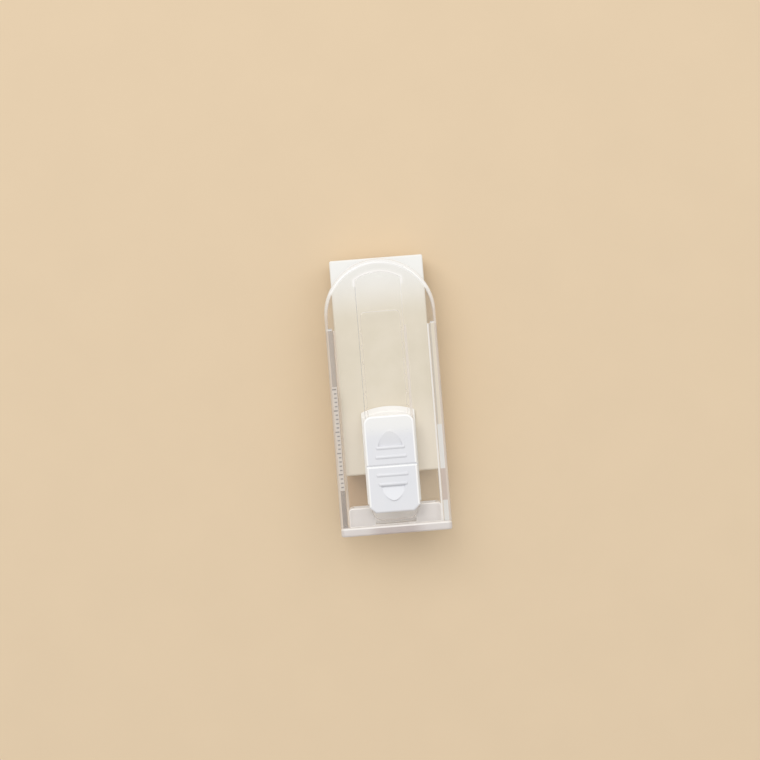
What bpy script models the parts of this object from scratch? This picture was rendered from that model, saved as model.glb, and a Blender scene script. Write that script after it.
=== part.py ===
"""Cartridge eraser: a block eraser in a clear case, fed out of the open end by a thumb slider.

It lies on its back. The back wall rests on Z = 0, the slider faces up (+Z), the eraser's working
end points along +Y, and X is the width. The origin is below the middle of the whole object.
All sizes are in metres. A "drop" is a distance from the top of the case's arch towards -Y.
"""

import math

import bmesh
import bpy
from mathutils import Vector

# The refill: one block of vinyl
ERASER_WIDTH = 0.0220
ERASER_LENGTH = 0.05075
ERASER_THICKNESS = 0.0102
ERASER_EDGE_RADIUS = 0.0005
ERASER_PROUD = 0.0003

# The clear case
SIDE_WALL = 0.00175
FRONT_WALL = 0.0015
BACK_WALL = 0.0015
CASE_EDGE_RADIUS = 0.0006
SIDE_WALL_DROP = 0.0161
REAR_BAY_LENGTH = 0.0076

# The channel in the front wall, and the slot in its floor
CHANNEL_WIDTH = 0.0112
CHANNEL_DEPTH = 0.0005
CHANNEL_DROP = 0.00275
CHANNEL_END_MARGIN = 0.0009
CHANNEL_FOOT_RADIUS = 0.0025
SLOT_WIDTH = 0.0091
SLOT_CORNER_RADIUS = 0.0010

# The click stops along both edges of the slot
STOP_PITCH = 0.00365
STOP_STEPS = 7
STOP_NOTCH_RADIUS = 0.0004

# The thumb pad, outside the case
PAD_WIDTH = 0.0119
PAD_LENGTH = 0.0227
PAD_THICKNESS = 0.0022
PAD_OVERHANG = 0.00905
PAD_TOP_CORNER_RADIUS = 0.0020
PAD_FOOT_CHAMFER = 0.0014
PAD_EDGE_RADIUS = 0.0005
PAD_GROOVE_SETBACK = 0.0118
PAD_GROOVE_WIDTH = 0.0008
PAD_GROOVE_DEPTH = 0.0005
NECK_INSET = 0.0015
BUMP_SETBACK = 0.00415
BUMP_HEIGHT = 0.0002
BUMP_RADIUS = 0.0006
PEG_RADIUS = 0.0010
PEG_INSET = 0.0050

# The grip marks on the pad: bars, and an arrowhead at each end
BAR_LENGTH = 0.0073
BAR_SHORTENING = 0.0007
BAR_RADIUS = 0.00045
BAR_HEIGHT = 0.00035
BAR_PITCH = 0.00215
FIRST_BAR_OFFSET = 0.0021
BARS_EACH_WAY = 2
ARROW_GAP = 0.0005
ARROW_BASE = 0.0059
ARROW_LENGTH = 0.0034
ARROW_HEIGHT = 0.0004
ARROW_SIDE_POWER = 1.6
ARROW_TIP_POWER = 0.7

# The pusher, inside the case
SADDLE_LAP = 0.00175
SADDLE_THICKNESS = 0.0009
SADDLE_LEAD = 0.0021
SADDLE_RISE = 0.0012
BLOCK_WIDTH = 0.0096
BLOCK_LENGTH = 0.0045
PRONG_LENGTH = 0.0075
PRONG_RADIUS = 0.0009
PRONG_TIP_RADIUS = 0.0003
BARB_RADIUS = 0.0013
BARB_LENGTH = 0.0024
PRONG_SPACING = 0.0060

# The end cap
FLANGE_THICKNESS = 0.0021
FLANGE_CORNER_RADIUS = 0.0012
FLANGE_EDGE_RADIUS = 0.0005
PLUG_LENGTH = 0.0045
PLUG_WALL = 0.0012
PLUG_CORNER_RADIUS = 0.0010
PLUG_WINDOW_WIDTH = 0.0096

# Clearances
SIDE_CLEARANCE = 0.0003
FIT_CLEARANCE = 0.0003
SADDLE_END_CLEARANCE = 0.0006
CUT_MARGIN = 0.0020
WELD_LAP = 0.0002

# How finely curves are cut
ARCH_STEPS = 48
BOW_STEPS = 16
CORNER_STEPS = 6
ARROW_STEPS = 8
NOTCH_STEPS = 6
ROUND_SIDES = 20
EDGE_SEGMENTS = 2
MERGE_DISTANCE = 0.00001
FLAT_ANGLE = math.radians(0.1)
BEVEL_ANGLE = math.radians(40)
SMOOTH_ANGLE = math.radians(30)

# Worked out from the sizes above
INNER_WIDTH = ERASER_WIDTH + 2 * SIDE_CLEARANCE
CASE_WIDTH = INNER_WIDTH + 2 * SIDE_WALL
ARCH_RADIUS = CASE_WIDTH / 2
ERASER_FOOT_DROP = ERASER_LENGTH - ERASER_PROUD
CASE_LENGTH = ERASER_FOOT_DROP + REAR_BAY_LENGTH + PLUG_LENGTH - FIT_CLEARANCE
FLANGE_DROP = CASE_LENGTH + FIT_CLEARANCE
OBJECT_LENGTH = ERASER_PROUD + FLANGE_DROP + FLANGE_THICKNESS
ARCH_TOP_Y = OBJECT_LENGTH / 2 - ERASER_PROUD
ERASER_BACK_Z = BACK_WALL + FIT_CLEARANCE
ERASER_FRONT_Z = ERASER_BACK_Z + ERASER_THICKNESS
SADDLE_BACK_Z = ERASER_FRONT_Z + FIT_CLEARANCE
SADDLE_FRONT_Z = SADDLE_BACK_Z + SADDLE_THICKNESS
INNER_FRONT_Z = SADDLE_FRONT_Z + FIT_CLEARANCE
CASE_DEPTH = INNER_FRONT_Z + FRONT_WALL
CHANNEL_FLOOR_Z = CASE_DEPTH - CHANNEL_DEPTH
PAD_BACK_Z = CASE_DEPTH + FIT_CLEARANCE
PAD_FRONT_Z = PAD_BACK_Z + PAD_THICKNESS
PAD_FOOT_DROP = ERASER_FOOT_DROP + PAD_OVERHANG
PAD_TOP_DROP = PAD_FOOT_DROP - PAD_LENGTH
GROOVE_DROP = PAD_TOP_DROP + PAD_GROOVE_SETBACK
NECK_TOP_DROP = PAD_TOP_DROP + NECK_INSET
NECK_FOOT_DROP = PAD_FOOT_DROP - NECK_INSET
NECK_WIDTH = SLOT_WIDTH - 2 * (FIT_CLEARANCE + BUMP_HEIGHT)
TRAVEL = STOP_PITCH * STOP_STEPS
SLOT_TOP_DROP = NECK_TOP_DROP - TRAVEL - FIT_CLEARANCE
SLOT_FOOT_DROP = NECK_FOOT_DROP + FIT_CLEARANCE
BUMP_DROP = NECK_TOP_DROP + BUMP_SETBACK
PEG_DROPS = (NECK_TOP_DROP + PEG_INSET, NECK_FOOT_DROP - PEG_INSET)
BLOCK_TOP_DROP = ERASER_FOOT_DROP + FIT_CLEARANCE
BLOCK_FOOT_DROP = BLOCK_TOP_DROP + BLOCK_LENGTH
PLUG_TOP_DROP = FLANGE_DROP - PLUG_LENGTH
SADDLE_WIDTH = SLOT_WIDTH + 2 * SADDLE_LAP
SADDLE_TOP_DROP = PAD_TOP_DROP - SADDLE_LEAD
SADDLE_FOOT_DROP = PLUG_TOP_DROP - SADDLE_END_CLEARANCE
PRONG_Z = (ERASER_BACK_Z + ERASER_FRONT_Z) / 2
PRONG_XS = (-PRONG_SPACING / 2, PRONG_SPACING / 2)
SLIDER_ORIGIN = Vector((0, -PAD_TOP_DROP - PAD_LENGTH / 2 + ARCH_TOP_Y, CASE_DEPTH))
ERASER_ORIGIN = Vector((0, ARCH_TOP_Y + ERASER_PROUD - ERASER_LENGTH / 2, PRONG_Z))


def y_at(drop):
    """The Y of a place that lies this far below the top of the arch."""
    return ARCH_TOP_Y - drop


# Helpers


def clear_scene():
    """Removes everything that the file opened with."""
    for obj in list(bpy.data.objects):
        bpy.data.objects.remove(obj, do_unlink=True)


def new_collection(name):
    collection = bpy.data.collections.new(name)
    bpy.context.scene.collection.children.link(collection)
    return collection


def new_material(name, colour, roughness, alpha=1.0, transmission=0.0):
    material = bpy.data.materials.new(name)
    material.use_nodes = True
    shader = material.node_tree.nodes["Principled BSDF"]
    shader.inputs["Base Color"].default_value = (*colour, 1.0)
    shader.inputs["Roughness"].default_value = roughness
    shader.inputs["Metallic"].default_value = 0.0
    shader.inputs["Alpha"].default_value = alpha
    shader.inputs["Transmission Weight"].default_value = transmission
    return material


def add_object(name, mesh, collection):
    obj = bpy.data.objects.new(name, mesh)
    collection.objects.link(obj)
    return obj


def as_helper(obj):
    """Keeps a cutter or a joined-on shape out of the render and out of the way."""
    obj.hide_render = True
    obj.display_type = "WIRE"
    return obj


def box_mesh(name, low, high):
    mesh = bpy.data.meshes.new(name)
    shape = bmesh.new()
    bmesh.ops.create_cube(shape, size=1.0)
    size = [b - a for a, b in zip(low, high)]
    middle = [(a + b) / 2 for a, b in zip(low, high)]
    bmesh.ops.scale(shape, vec=size, verts=shape.verts)
    bmesh.ops.translate(shape, vec=middle, verts=shape.verts)
    shape.to_mesh(mesh)
    shape.free()
    return mesh


def rod_mesh(name, radius, start, end):
    """A cylinder from one point to another."""
    start, end = Vector(start), Vector(end)
    run = end - start
    mesh = bpy.data.meshes.new(name)
    shape = bmesh.new()
    bmesh.ops.create_cone(
        shape, cap_ends=True, segments=ROUND_SIDES, radius1=radius, radius2=radius, depth=run.length
    )
    turn = Vector((0, 0, 1)).rotation_difference(run)
    bmesh.ops.rotate(shape, cent=(0, 0, 0), matrix=turn.to_matrix(), verts=shape.verts)
    bmesh.ops.translate(shape, vec=(start + end) / 2, verts=shape.verts)
    shape.to_mesh(mesh)
    shape.free()
    return mesh


def plate_mesh(name, outline, low, high):
    """A flat plate: the outline as a filled 2D curve, from Z = low to Z = high."""
    curve = bpy.data.curves.new(name, "CURVE")
    curve.dimensions = "2D"
    curve.fill_mode = "BOTH"
    curve.extrude = (high - low) / 2
    spline = curve.splines.new("POLY")
    spline.points.add(len(outline) - 1)
    for point, (x, y) in zip(spline.points, outline):
        point.co = (x, y, 0, 1)
    spline.use_cyclic_u = True
    guide = bpy.data.objects.new(name, curve)
    bpy.context.scene.collection.objects.link(guide)
    graph = bpy.context.evaluated_depsgraph_get()
    mesh = bpy.data.meshes.new_from_object(guide.evaluated_get(graph))
    bpy.data.objects.remove(guide, do_unlink=True)
    shape = bmesh.new()
    shape.from_mesh(mesh)
    bmesh.ops.remove_doubles(shape, verts=shape.verts, dist=MERGE_DISTANCE)
    bmesh.ops.dissolve_limit(shape, angle_limit=FLAT_ANGLE, verts=shape.verts, edges=shape.edges)
    bmesh.ops.translate(shape, vec=(0, 0, (low + high) / 2), verts=shape.verts)
    bmesh.ops.recalc_face_normals(shape, faces=shape.faces)
    shape.to_mesh(mesh)
    shape.free()
    return mesh


def arc(centre, radius, start, end, steps):
    """Points along an arc, from one angle to another in degrees."""
    points = []
    for step in range(steps + 1):
        angle = math.radians(start + (end - start) * step / steps)
        points.append((centre[0] + radius * math.cos(angle), centre[1] + radius * math.sin(angle)))
    return points


def corner(x, y, radius, start):
    """A rounded corner of a quarter turn whose sharp point would be at x, y."""
    side_x = -1 if start in (0, 270) else 1
    side_y = -1 if start in (0, 90) else 1
    centre = (x + side_x * radius, y + side_y * radius)
    return arc(centre, radius, start, start + 90, CORNER_STEPS)


def rounded_rectangle(half_x, low_y, high_y, radius):
    return [
        *corner(half_x, high_y, radius, 0),
        *corner(-half_x, high_y, radius, 90),
        *corner(-half_x, low_y, radius, 180),
        *corner(half_x, low_y, radius, 270),
    ]


def combine(obj, other, operation):
    """Joins another closed shape on, or cuts it away."""
    step = obj.modifiers.new(f"{operation.lower()} {other.name}", "BOOLEAN")
    step.object = other
    step.operation = operation
    step.solver = "EXACT"


def round_edges(obj, radius):
    step = obj.modifiers.new("round edges", "BEVEL")
    step.width = radius
    step.segments = EDGE_SEGMENTS
    step.limit_method = "ANGLE"
    step.angle_limit = BEVEL_ANGLE


def finish(obj, material, origin=None):
    """Gives a piece its material, smooth rounds, and its origin on the joint that moves it."""
    obj.data.materials.append(material)
    obj.data.shade_smooth()
    obj.data.set_sharp_from_angle(angle=SMOOTH_ANGLE)
    if origin is not None:
        for vertex in obj.data.vertices:
            vertex.co -= origin
        obj.location = origin


# Clear case


def case_outline():
    """Straight sides and a foot, closed at the top by a half circle."""
    half = CASE_WIDTH / 2
    return [
        *arc((0, y_at(ARCH_RADIUS)), ARCH_RADIUS, 0, 180, ARCH_STEPS),
        (-half, y_at(CASE_LENGTH)),
        (half, y_at(CASE_LENGTH)),
    ]


def channel_outline():
    """Two straight sides with rounded feet, under an arc that runs parallel to the arch."""
    half = CHANNEL_WIDTH / 2
    top_radius = ARCH_RADIUS - CHANNEL_DROP
    edge_angle = math.degrees(math.acos(half / top_radius))
    foot_y = y_at(CASE_LENGTH - CHANNEL_END_MARGIN)
    return [
        *arc((0, y_at(ARCH_RADIUS)), top_radius, edge_angle, 180 - edge_angle, BOW_STEPS),
        *corner(-half, foot_y, CHANNEL_FOOT_RADIUS, 180),
        *corner(half, foot_y, CHANNEL_FOOT_RADIUS, 270),
    ]


def notched_edge(side, drops):
    """The notches along one edge of the slot: half circles cut outwards, in the order of drops."""
    points = []
    for drop in drops:
        centre = (side * SLOT_WIDTH / 2, y_at(drop))
        start = 270 if side > 0 else 90
        points += arc(centre, STOP_NOTCH_RADIUS, start, start + 180, NOTCH_STEPS)
    return points


def slot_outline():
    half = SLOT_WIDTH / 2
    stops = [BUMP_DROP - STOP_PITCH * step for step in range(STOP_STEPS + 1)]
    return [
        *corner(half, y_at(SLOT_TOP_DROP), SLOT_CORNER_RADIUS, 0),
        *corner(-half, y_at(SLOT_TOP_DROP), SLOT_CORNER_RADIUS, 90),
        *notched_edge(-1, reversed(stops)),
        *corner(-half, y_at(SLOT_FOOT_DROP), SLOT_CORNER_RADIUS, 180),
        *corner(half, y_at(SLOT_FOOT_DROP), SLOT_CORNER_RADIUS, 270),
        *notched_edge(1, stops),
    ]


def build_case(parts, helpers, material):
    """One moulding: a solid arch, hollowed through, opened at the sides above, with channel and slot."""
    case = add_object("clear_case", plate_mesh("clear_case", case_outline(), 0, CASE_DEPTH), parts)
    round_edges(case, CASE_EDGE_RADIUS)
    foot_y = y_at(CASE_LENGTH) - CUT_MARGIN
    top_y = ARCH_TOP_Y + CUT_MARGIN
    half = INNER_WIDTH / 2
    cavity = box_mesh("cavity", (-half, foot_y, BACK_WALL), (half, top_y, INNER_FRONT_Z))
    wide = CASE_WIDTH / 2 + CUT_MARGIN
    mouth_low = (-wide, y_at(SIDE_WALL_DROP), BACK_WALL)
    mouth = box_mesh("mouth", mouth_low, (wide, top_y, INNER_FRONT_Z))
    above = CASE_DEPTH + CUT_MARGIN
    channel = plate_mesh("channel", channel_outline(), CHANNEL_FLOOR_Z, above)
    slot = plate_mesh("slot", slot_outline(), INNER_FRONT_Z - CUT_MARGIN, above)
    for mesh in (cavity, mouth, channel, slot):
        combine(case, as_helper(add_object(mesh.name, mesh, helpers)), "DIFFERENCE")
    finish(case, material)


# End cap


def build_end_cap(parts, helpers, material):
    """A flange as wide and deep as the case, with a hollow plug that presses into its lower end."""
    middle_z = CASE_DEPTH / 2
    outline = rounded_rectangle(CASE_WIDTH / 2, -middle_z, middle_z, FLANGE_CORNER_RADIUS)
    mesh = plate_mesh("end_cap", outline, 0, FLANGE_THICKNESS)
    for vertex in mesh.vertices:
        x, y, z = vertex.co
        vertex.co = (x, z + y_at(FLANGE_DROP + FLANGE_THICKNESS), middle_z - y)
    cap = add_object("end_cap", mesh, parts)
    round_edges(cap, FLANGE_EDGE_RADIUS)
    half = INNER_WIDTH / 2 - FIT_CLEARANCE
    back_z = BACK_WALL + FIT_CLEARANCE
    front_z = INNER_FRONT_Z - FIT_CLEARANCE
    low_y = y_at(FLANGE_DROP + WELD_LAP)
    high_y = y_at(PLUG_TOP_DROP)
    outline = [
        *corner(half, high_y, PLUG_CORNER_RADIUS, 0),
        *corner(-half, high_y, PLUG_CORNER_RADIUS, 90),
        (-half, low_y),
        (half, low_y),
    ]
    plug = as_helper(add_object("plug", plate_mesh("plug", outline, back_z, front_z), helpers))
    inner = half - PLUG_WALL
    floor_y = y_at(FLANGE_DROP)
    hollow_low = (-inner, floor_y, back_z + PLUG_WALL)
    hollow_high = (inner, high_y + CUT_MARGIN, front_z - PLUG_WALL)
    window_half = PLUG_WINDOW_WIDTH / 2
    window_low = (-window_half, floor_y, middle_z)
    window_high = (window_half, high_y + CUT_MARGIN, front_z + CUT_MARGIN)
    hollow = box_mesh("plug_hollow", hollow_low, hollow_high)
    window = box_mesh("plug_window", window_low, window_high)
    combine(cap, plug, "UNION")
    for mesh in (hollow, window):
        combine(cap, as_helper(add_object(mesh.name, mesh, helpers)), "DIFFERENCE")
    finish(cap, material)


# Eraser block


def build_eraser(parts, helpers, material):
    """The refill block, with a hole at its rear for each prong."""
    half = ERASER_WIDTH / 2
    low = (-half, y_at(ERASER_FOOT_DROP), ERASER_BACK_Z)
    high = (half, y_at(-ERASER_PROUD), ERASER_FRONT_Z)
    eraser = add_object("eraser_block", box_mesh("eraser_block", low, high), parts)
    round_edges(eraser, ERASER_EDGE_RADIUS)
    hole_end_y = y_at(BLOCK_TOP_DROP - PRONG_LENGTH - FIT_CLEARANCE)
    for index, x in enumerate(PRONG_XS, 1):
        start = (x, y_at(ERASER_FOOT_DROP) - CUT_MARGIN, PRONG_Z)
        end = (x, hole_end_y, PRONG_Z)
        hole = rod_mesh(f"prong_hole_{index}", BARB_RADIUS + FIT_CLEARANCE, start, end)
        combine(eraser, as_helper(add_object(hole.name, hole, helpers)), "DIFFERENCE")
    finish(eraser, material, ERASER_ORIGIN)


# Pusher


def saddle_outline():
    """A plate behind the slot, with a bowed leading end."""
    half = SADDLE_WIDTH / 2
    radius = (half * half + SADDLE_RISE * SADDLE_RISE) / (2 * SADDLE_RISE)
    edge_angle = math.degrees(math.acos(half / radius))
    centre = (0, y_at(SADDLE_TOP_DROP) - radius)
    foot_y = y_at(SADDLE_FOOT_DROP)
    bow = arc(centre, radius, edge_angle, 180 - edge_angle, BOW_STEPS)
    return [*bow, (-half, foot_y), (half, foot_y)]


def prong_object(name, x, helpers):
    """A barbed prong, turned from its profile about its own length."""
    barb_start = PRONG_LENGTH - BARB_LENGTH
    profile = [
        (0, PRONG_LENGTH),
        (PRONG_TIP_RADIUS, PRONG_LENGTH),
        (BARB_RADIUS, barb_start),
        (PRONG_RADIUS, barb_start),
        (PRONG_RADIUS, -WELD_LAP),
        (0, -WELD_LAP),
    ]
    mesh = bpy.data.meshes.new(name)
    edges = [(index, index + 1) for index in range(len(profile) - 1)]
    mesh.from_pydata([(r, 0, height) for r, height in profile], edges, [])
    prong = as_helper(add_object(name, mesh, helpers))
    turn = prong.modifiers.new("turn", "SCREW")
    turn.steps = ROUND_SIDES
    turn.render_steps = ROUND_SIDES
    turn.use_merge_vertices = True
    turn.merge_threshold = MERGE_DISTANCE
    prong.rotation_euler = (-math.pi / 2, 0, 0)
    prong.location = (x, y_at(BLOCK_TOP_DROP), PRONG_Z)
    return prong


def build_pusher(parts, helpers):
    """The saddle plate behind the slot, the block behind the eraser and its two prongs."""
    saddle_mesh = plate_mesh("pusher", saddle_outline(), SADDLE_BACK_Z, SADDLE_FRONT_Z)
    pusher = add_object("pusher", saddle_mesh, parts)
    half = BLOCK_WIDTH / 2
    low = (-half, y_at(BLOCK_FOOT_DROP), ERASER_BACK_Z)
    high = (half, y_at(BLOCK_TOP_DROP), SADDLE_BACK_Z + WELD_LAP)
    block = box_mesh("push_block", low, high)
    combine(pusher, as_helper(add_object(block.name, block, helpers)), "UNION")
    for index, x in enumerate(PRONG_XS, 1):
        combine(pusher, prong_object(f"prong_{index}", x, helpers), "UNION")
    for index, drop in enumerate(PEG_DROPS, 1):
        start = (0, y_at(drop), SADDLE_BACK_Z - WELD_LAP)
        end = (0, y_at(drop), SADDLE_FRONT_Z + CUT_MARGIN)
        hole = rod_mesh(f"peg_hole_{index}", PEG_RADIUS + FIT_CLEARANCE, start, end)
        combine(pusher, as_helper(add_object(hole.name, hole, helpers)), "DIFFERENCE")
    return pusher


# Thumb pad


def pad_outline():
    half = PAD_WIDTH / 2
    top_y = y_at(PAD_TOP_DROP)
    foot_y = y_at(PAD_FOOT_DROP)
    return [
        *corner(half, top_y, PAD_TOP_CORNER_RADIUS, 0),
        *corner(-half, top_y, PAD_TOP_CORNER_RADIUS, 90),
        (-half, foot_y + PAD_FOOT_CHAMFER),
        (-half + PAD_FOOT_CHAMFER, foot_y),
        (half - PAD_FOOT_CHAMFER, foot_y),
        (half, foot_y + PAD_FOOT_CHAMFER),
    ]


def arrow_mesh(name, base_y, way):
    """A wedge with bowed sides and a round tip that points along +Y or -Y and rises towards the tip."""
    right = []
    for step in range(ARROW_STEPS):
        share = step / ARROW_STEPS
        half = ARROW_BASE / 2 * (1 - share**ARROW_SIDE_POWER) ** ARROW_TIP_POWER
        right.append((half, ARROW_LENGTH * share))
    left = [(-x, y) for x, y in reversed(right)]
    outline = [*right, (0, ARROW_LENGTH), *left]
    mesh = plate_mesh(name, outline, PAD_FRONT_Z - WELD_LAP, PAD_FRONT_Z)
    for vertex in mesh.vertices:
        if vertex.co.z > PAD_FRONT_Z - WELD_LAP / 2:
            vertex.co.z += WELD_LAP / 2 + ARROW_HEIGHT * vertex.co.y / ARROW_LENGTH
        vertex.co.x *= way
        vertex.co.y = base_y + way * vertex.co.y
    return mesh


def groove_mesh(groove_y):
    """A V-shaped groove right across the pad: a square bar turned onto its edge, and flattened."""
    half = PAD_WIDTH / 2 + CUT_MARGIN
    side = math.sqrt(0.5)
    mesh = box_mesh("groove", (-half, -side, -side), (half, side, side))
    for vertex in mesh.vertices:
        x, y, z = vertex.co
        across = (y + z) * side
        down = (z - y) * side
        vertex.co = (x, groove_y + across * PAD_GROOVE_WIDTH / 2, PAD_FRONT_Z + down * PAD_GROOVE_DEPTH)
    return mesh


def pad_additions():
    """Everything that is one moulding with the pad: runner, neck, click bumps, pegs and grip marks."""
    half_neck = NECK_WIDTH / 2
    half_runner = CHANNEL_WIDTH / 2 - FIT_CLEARANCE
    neck_foot_y = y_at(NECK_FOOT_DROP)
    neck_top_y = y_at(NECK_TOP_DROP)
    runner_z = CHANNEL_FLOOR_Z + FIT_CLEARANCE
    inside = PAD_BACK_Z + WELD_LAP
    yield box_mesh("runner", (-half_runner, neck_foot_y, runner_z), (half_runner, neck_top_y, inside))
    neck_low = (-half_neck, neck_foot_y, INNER_FRONT_Z)
    yield box_mesh("neck", neck_low, (half_neck, neck_top_y, runner_z + WELD_LAP))
    bump_x = half_neck + BUMP_HEIGHT - BUMP_RADIUS
    for name, side in (("left", -1), ("right", 1)):
        foot = (side * bump_x, y_at(BUMP_DROP), INNER_FRONT_Z + WELD_LAP)
        yield rod_mesh(f"click_bump_{name}", BUMP_RADIUS, foot, (foot[0], foot[1], runner_z + WELD_LAP))
    for index, drop in enumerate(PEG_DROPS, 1):
        foot = (0, y_at(drop), SADDLE_BACK_Z + WELD_LAP)
        yield rod_mesh(f"peg_{index}", PEG_RADIUS, foot, (0, y_at(drop), INNER_FRONT_Z + WELD_LAP))
    groove_y = y_at(GROOVE_DROP)
    bar_z = PAD_FRONT_Z + BAR_HEIGHT - BAR_RADIUS
    for name, way in (("upper", 1), ("lower", -1)):
        for index in range(BARS_EACH_WAY):
            bar_y = groove_y + way * (FIRST_BAR_OFFSET + BAR_PITCH * index)
            half_bar = (BAR_LENGTH - BAR_SHORTENING * index) / 2
            ends = [(end * half_bar, bar_y, bar_z) for end in (-1, 1)]
            yield rod_mesh(f"{name}_bar_{index + 1}", BAR_RADIUS, *ends)
        base_offset = FIRST_BAR_OFFSET + BAR_PITCH * (BARS_EACH_WAY - 1) + ARROW_GAP
        yield arrow_mesh(f"{name}_arrow", groove_y + way * base_offset, way)


def build_thumb_pad(parts, helpers):
    """The pad outside the case, with all that is moulded in one with it."""
    pad = add_object("thumb_pad", plate_mesh("thumb_pad", pad_outline(), PAD_BACK_Z, PAD_FRONT_Z), parts)
    round_edges(pad, PAD_EDGE_RADIUS)
    groove = groove_mesh(y_at(GROOVE_DROP))
    combine(pad, as_helper(add_object(groove.name, groove, helpers)), "DIFFERENCE")
    for mesh in pad_additions():
        combine(pad, as_helper(add_object(mesh.name, mesh, helpers)), "UNION")
    return pad


def main():
    clear_scene()
    parts = new_collection("cartridge_eraser")
    helpers = new_collection("helpers")
    clear = new_material("clear plastic", (0.95, 0.95, 0.94), 0.05, alpha=0.35, transmission=1.0)
    frosted = new_material("frosted plastic", (0.84, 0.82, 0.81), 0.45, alpha=0.7, transmission=0.4)
    white = new_material("white plastic", (0.88, 0.89, 0.90), 0.35)
    vinyl = new_material("eraser vinyl", (0.80, 0.75, 0.64), 0.75)
    build_case(parts, helpers, clear)
    build_end_cap(parts, helpers, frosted)
    build_eraser(parts, helpers, vinyl)
    finish(build_pusher(parts, helpers), white, SLIDER_ORIGIN)
    finish(build_thumb_pad(parts, helpers), white, SLIDER_ORIGIN)


if __name__ == "__main__":
    main()
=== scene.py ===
"""Looks of a cartridge eraser: clear arched case, milky end cap, vinyl refill and white thumb slider.

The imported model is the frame, in metres: the object lies on its back, the slider faces +Z and the
eraser's working end points along +Y. Each finished piece stands for the solid of its sub-part.
"""

import logging
import math
from collections.abc import Callable, Iterator
from contextlib import contextmanager
from dataclasses import dataclass, replace
from enum import Enum
from typing import ClassVar

import bmesh
import bpy
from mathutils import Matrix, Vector


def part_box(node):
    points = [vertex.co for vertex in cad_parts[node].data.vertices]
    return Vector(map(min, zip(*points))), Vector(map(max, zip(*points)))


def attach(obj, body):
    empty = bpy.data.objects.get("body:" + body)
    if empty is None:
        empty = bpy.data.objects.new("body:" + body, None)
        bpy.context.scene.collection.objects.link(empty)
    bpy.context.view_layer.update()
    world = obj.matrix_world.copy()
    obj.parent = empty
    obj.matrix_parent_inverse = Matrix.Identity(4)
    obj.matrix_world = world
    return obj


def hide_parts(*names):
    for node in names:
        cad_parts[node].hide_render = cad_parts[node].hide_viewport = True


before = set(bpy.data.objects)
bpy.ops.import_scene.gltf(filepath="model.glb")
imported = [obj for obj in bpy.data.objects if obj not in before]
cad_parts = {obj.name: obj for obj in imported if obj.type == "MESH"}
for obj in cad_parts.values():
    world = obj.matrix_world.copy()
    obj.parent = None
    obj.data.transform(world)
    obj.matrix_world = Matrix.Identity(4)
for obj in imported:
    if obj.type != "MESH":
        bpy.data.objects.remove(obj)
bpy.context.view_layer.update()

LOG = logging.getLogger("cartridge_eraser")

MM = 0.001
NEAR = 0.00001
MERGE_DISTANCE = 0.000002
CUT_MARGIN = 2 * MM
WELD_LAP = 0.2 * MM
CREASE_BREADTH = 1.0 * MM
SAME_PLANE_ANGLE = math.radians(0.2)
CREASE_ANGLE = math.radians(3)
SHARP_ANGLE = math.radians(32)
SMOOTH_ANGLE = math.radians(40)
ASKEW = 0.03
SQUARE_ON = 0.998

Colour = tuple[float, float, float, float]
Shade = tuple[int, int, int]
# Takes both ends of an edge, or a face's middle and normal, and says if it is meant.
Pick = Callable[[Vector, Vector], bool]


# Modelling tools


class Operation(Enum):
    """How one solid is combined with another."""

    ADD = "UNION"
    CUT = "DIFFERENCE"


class Axis(Enum):
    """The axis that a round bar lies along, as the turn that brings a bar there from Z."""

    X = (0.0, math.pi / 2, 0.0)
    Y = (-math.pi / 2, 0.0, 0.0)
    Z = (0.0, 0.0, 0.0)


def select_only(obj: bpy.types.Object) -> None:
    """Deselects everything, then selects obj and makes it active.

    Args:
        obj: the object that the next operator works on.
    """
    bpy.ops.object.select_all(action="DESELECT")
    obj.select_set(True)
    bpy.context.view_layer.objects.active = obj


@contextmanager
def editing(obj: bpy.types.Object, kind: str = "EDGE") -> Iterator[bmesh.types.BMesh]:
    """Edit mode on one object, with nothing selected.

    Args:
        obj: the mesh object to edit.
        kind: what is selected inside, VERT, EDGE or FACE.

    Yields:
        The edit mesh, whose elements are selected in code.
    """
    select_only(obj)
    bpy.ops.object.mode_set(mode="EDIT")
    bpy.ops.mesh.select_mode(type=kind)
    bpy.ops.mesh.select_all(action="DESELECT")
    yield bmesh.from_edit_mesh(obj.data)
    bpy.ops.object.mode_set(mode="OBJECT")


def settle(obj: bpy.types.Object, name: str) -> bpy.types.Object:
    """Names an object and moves its place, turn and scale into its mesh.

    Args:
        obj: the object.
        name: its new name.

    Returns:
        The same object, at the origin.
    """
    obj.name = name
    obj.data.name = name
    select_only(obj)
    bpy.ops.object.transform_apply(location=True, rotation=True, scale=True)
    return obj


def add_block(name: str, low: Vector, high: Vector) -> bpy.types.Object:
    """A block between two corners.

    Args:
        name: the object's name.
        low: its lowest corner.
        high: its highest corner.

    Returns:
        The new object.
    """
    bpy.ops.object.select_all(action="DESELECT")
    bpy.ops.mesh.primitive_cube_add(size=1.0, location=(low + high) / 2, scale=high - low)
    return settle(bpy.context.active_object, name)


def add_bar(
    name: str,
    radius: float,
    middle: Vector,
    length: float,
    axis: Axis,
    sides: int = 48,
    tip: float | None = None,
) -> bpy.types.Object:
    """A round bar, or a taper when a tip radius is given.

    Args:
        name: the object's name.
        radius: its radius, at its lower end if it tapers.
        middle: the middle of its length.
        length: its length.
        axis: the axis that it lies along.
        sides: how many sides stand for its round.
        tip: the radius of its far end.

    Returns:
        The new object.
    """
    bpy.ops.object.select_all(action="DESELECT")
    far = radius if tip is None else tip
    bpy.ops.mesh.primitive_cone_add(
        vertices=sides, radius1=radius, radius2=far, depth=length, location=middle, rotation=axis.value
    )
    return settle(bpy.context.active_object, name)


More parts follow.
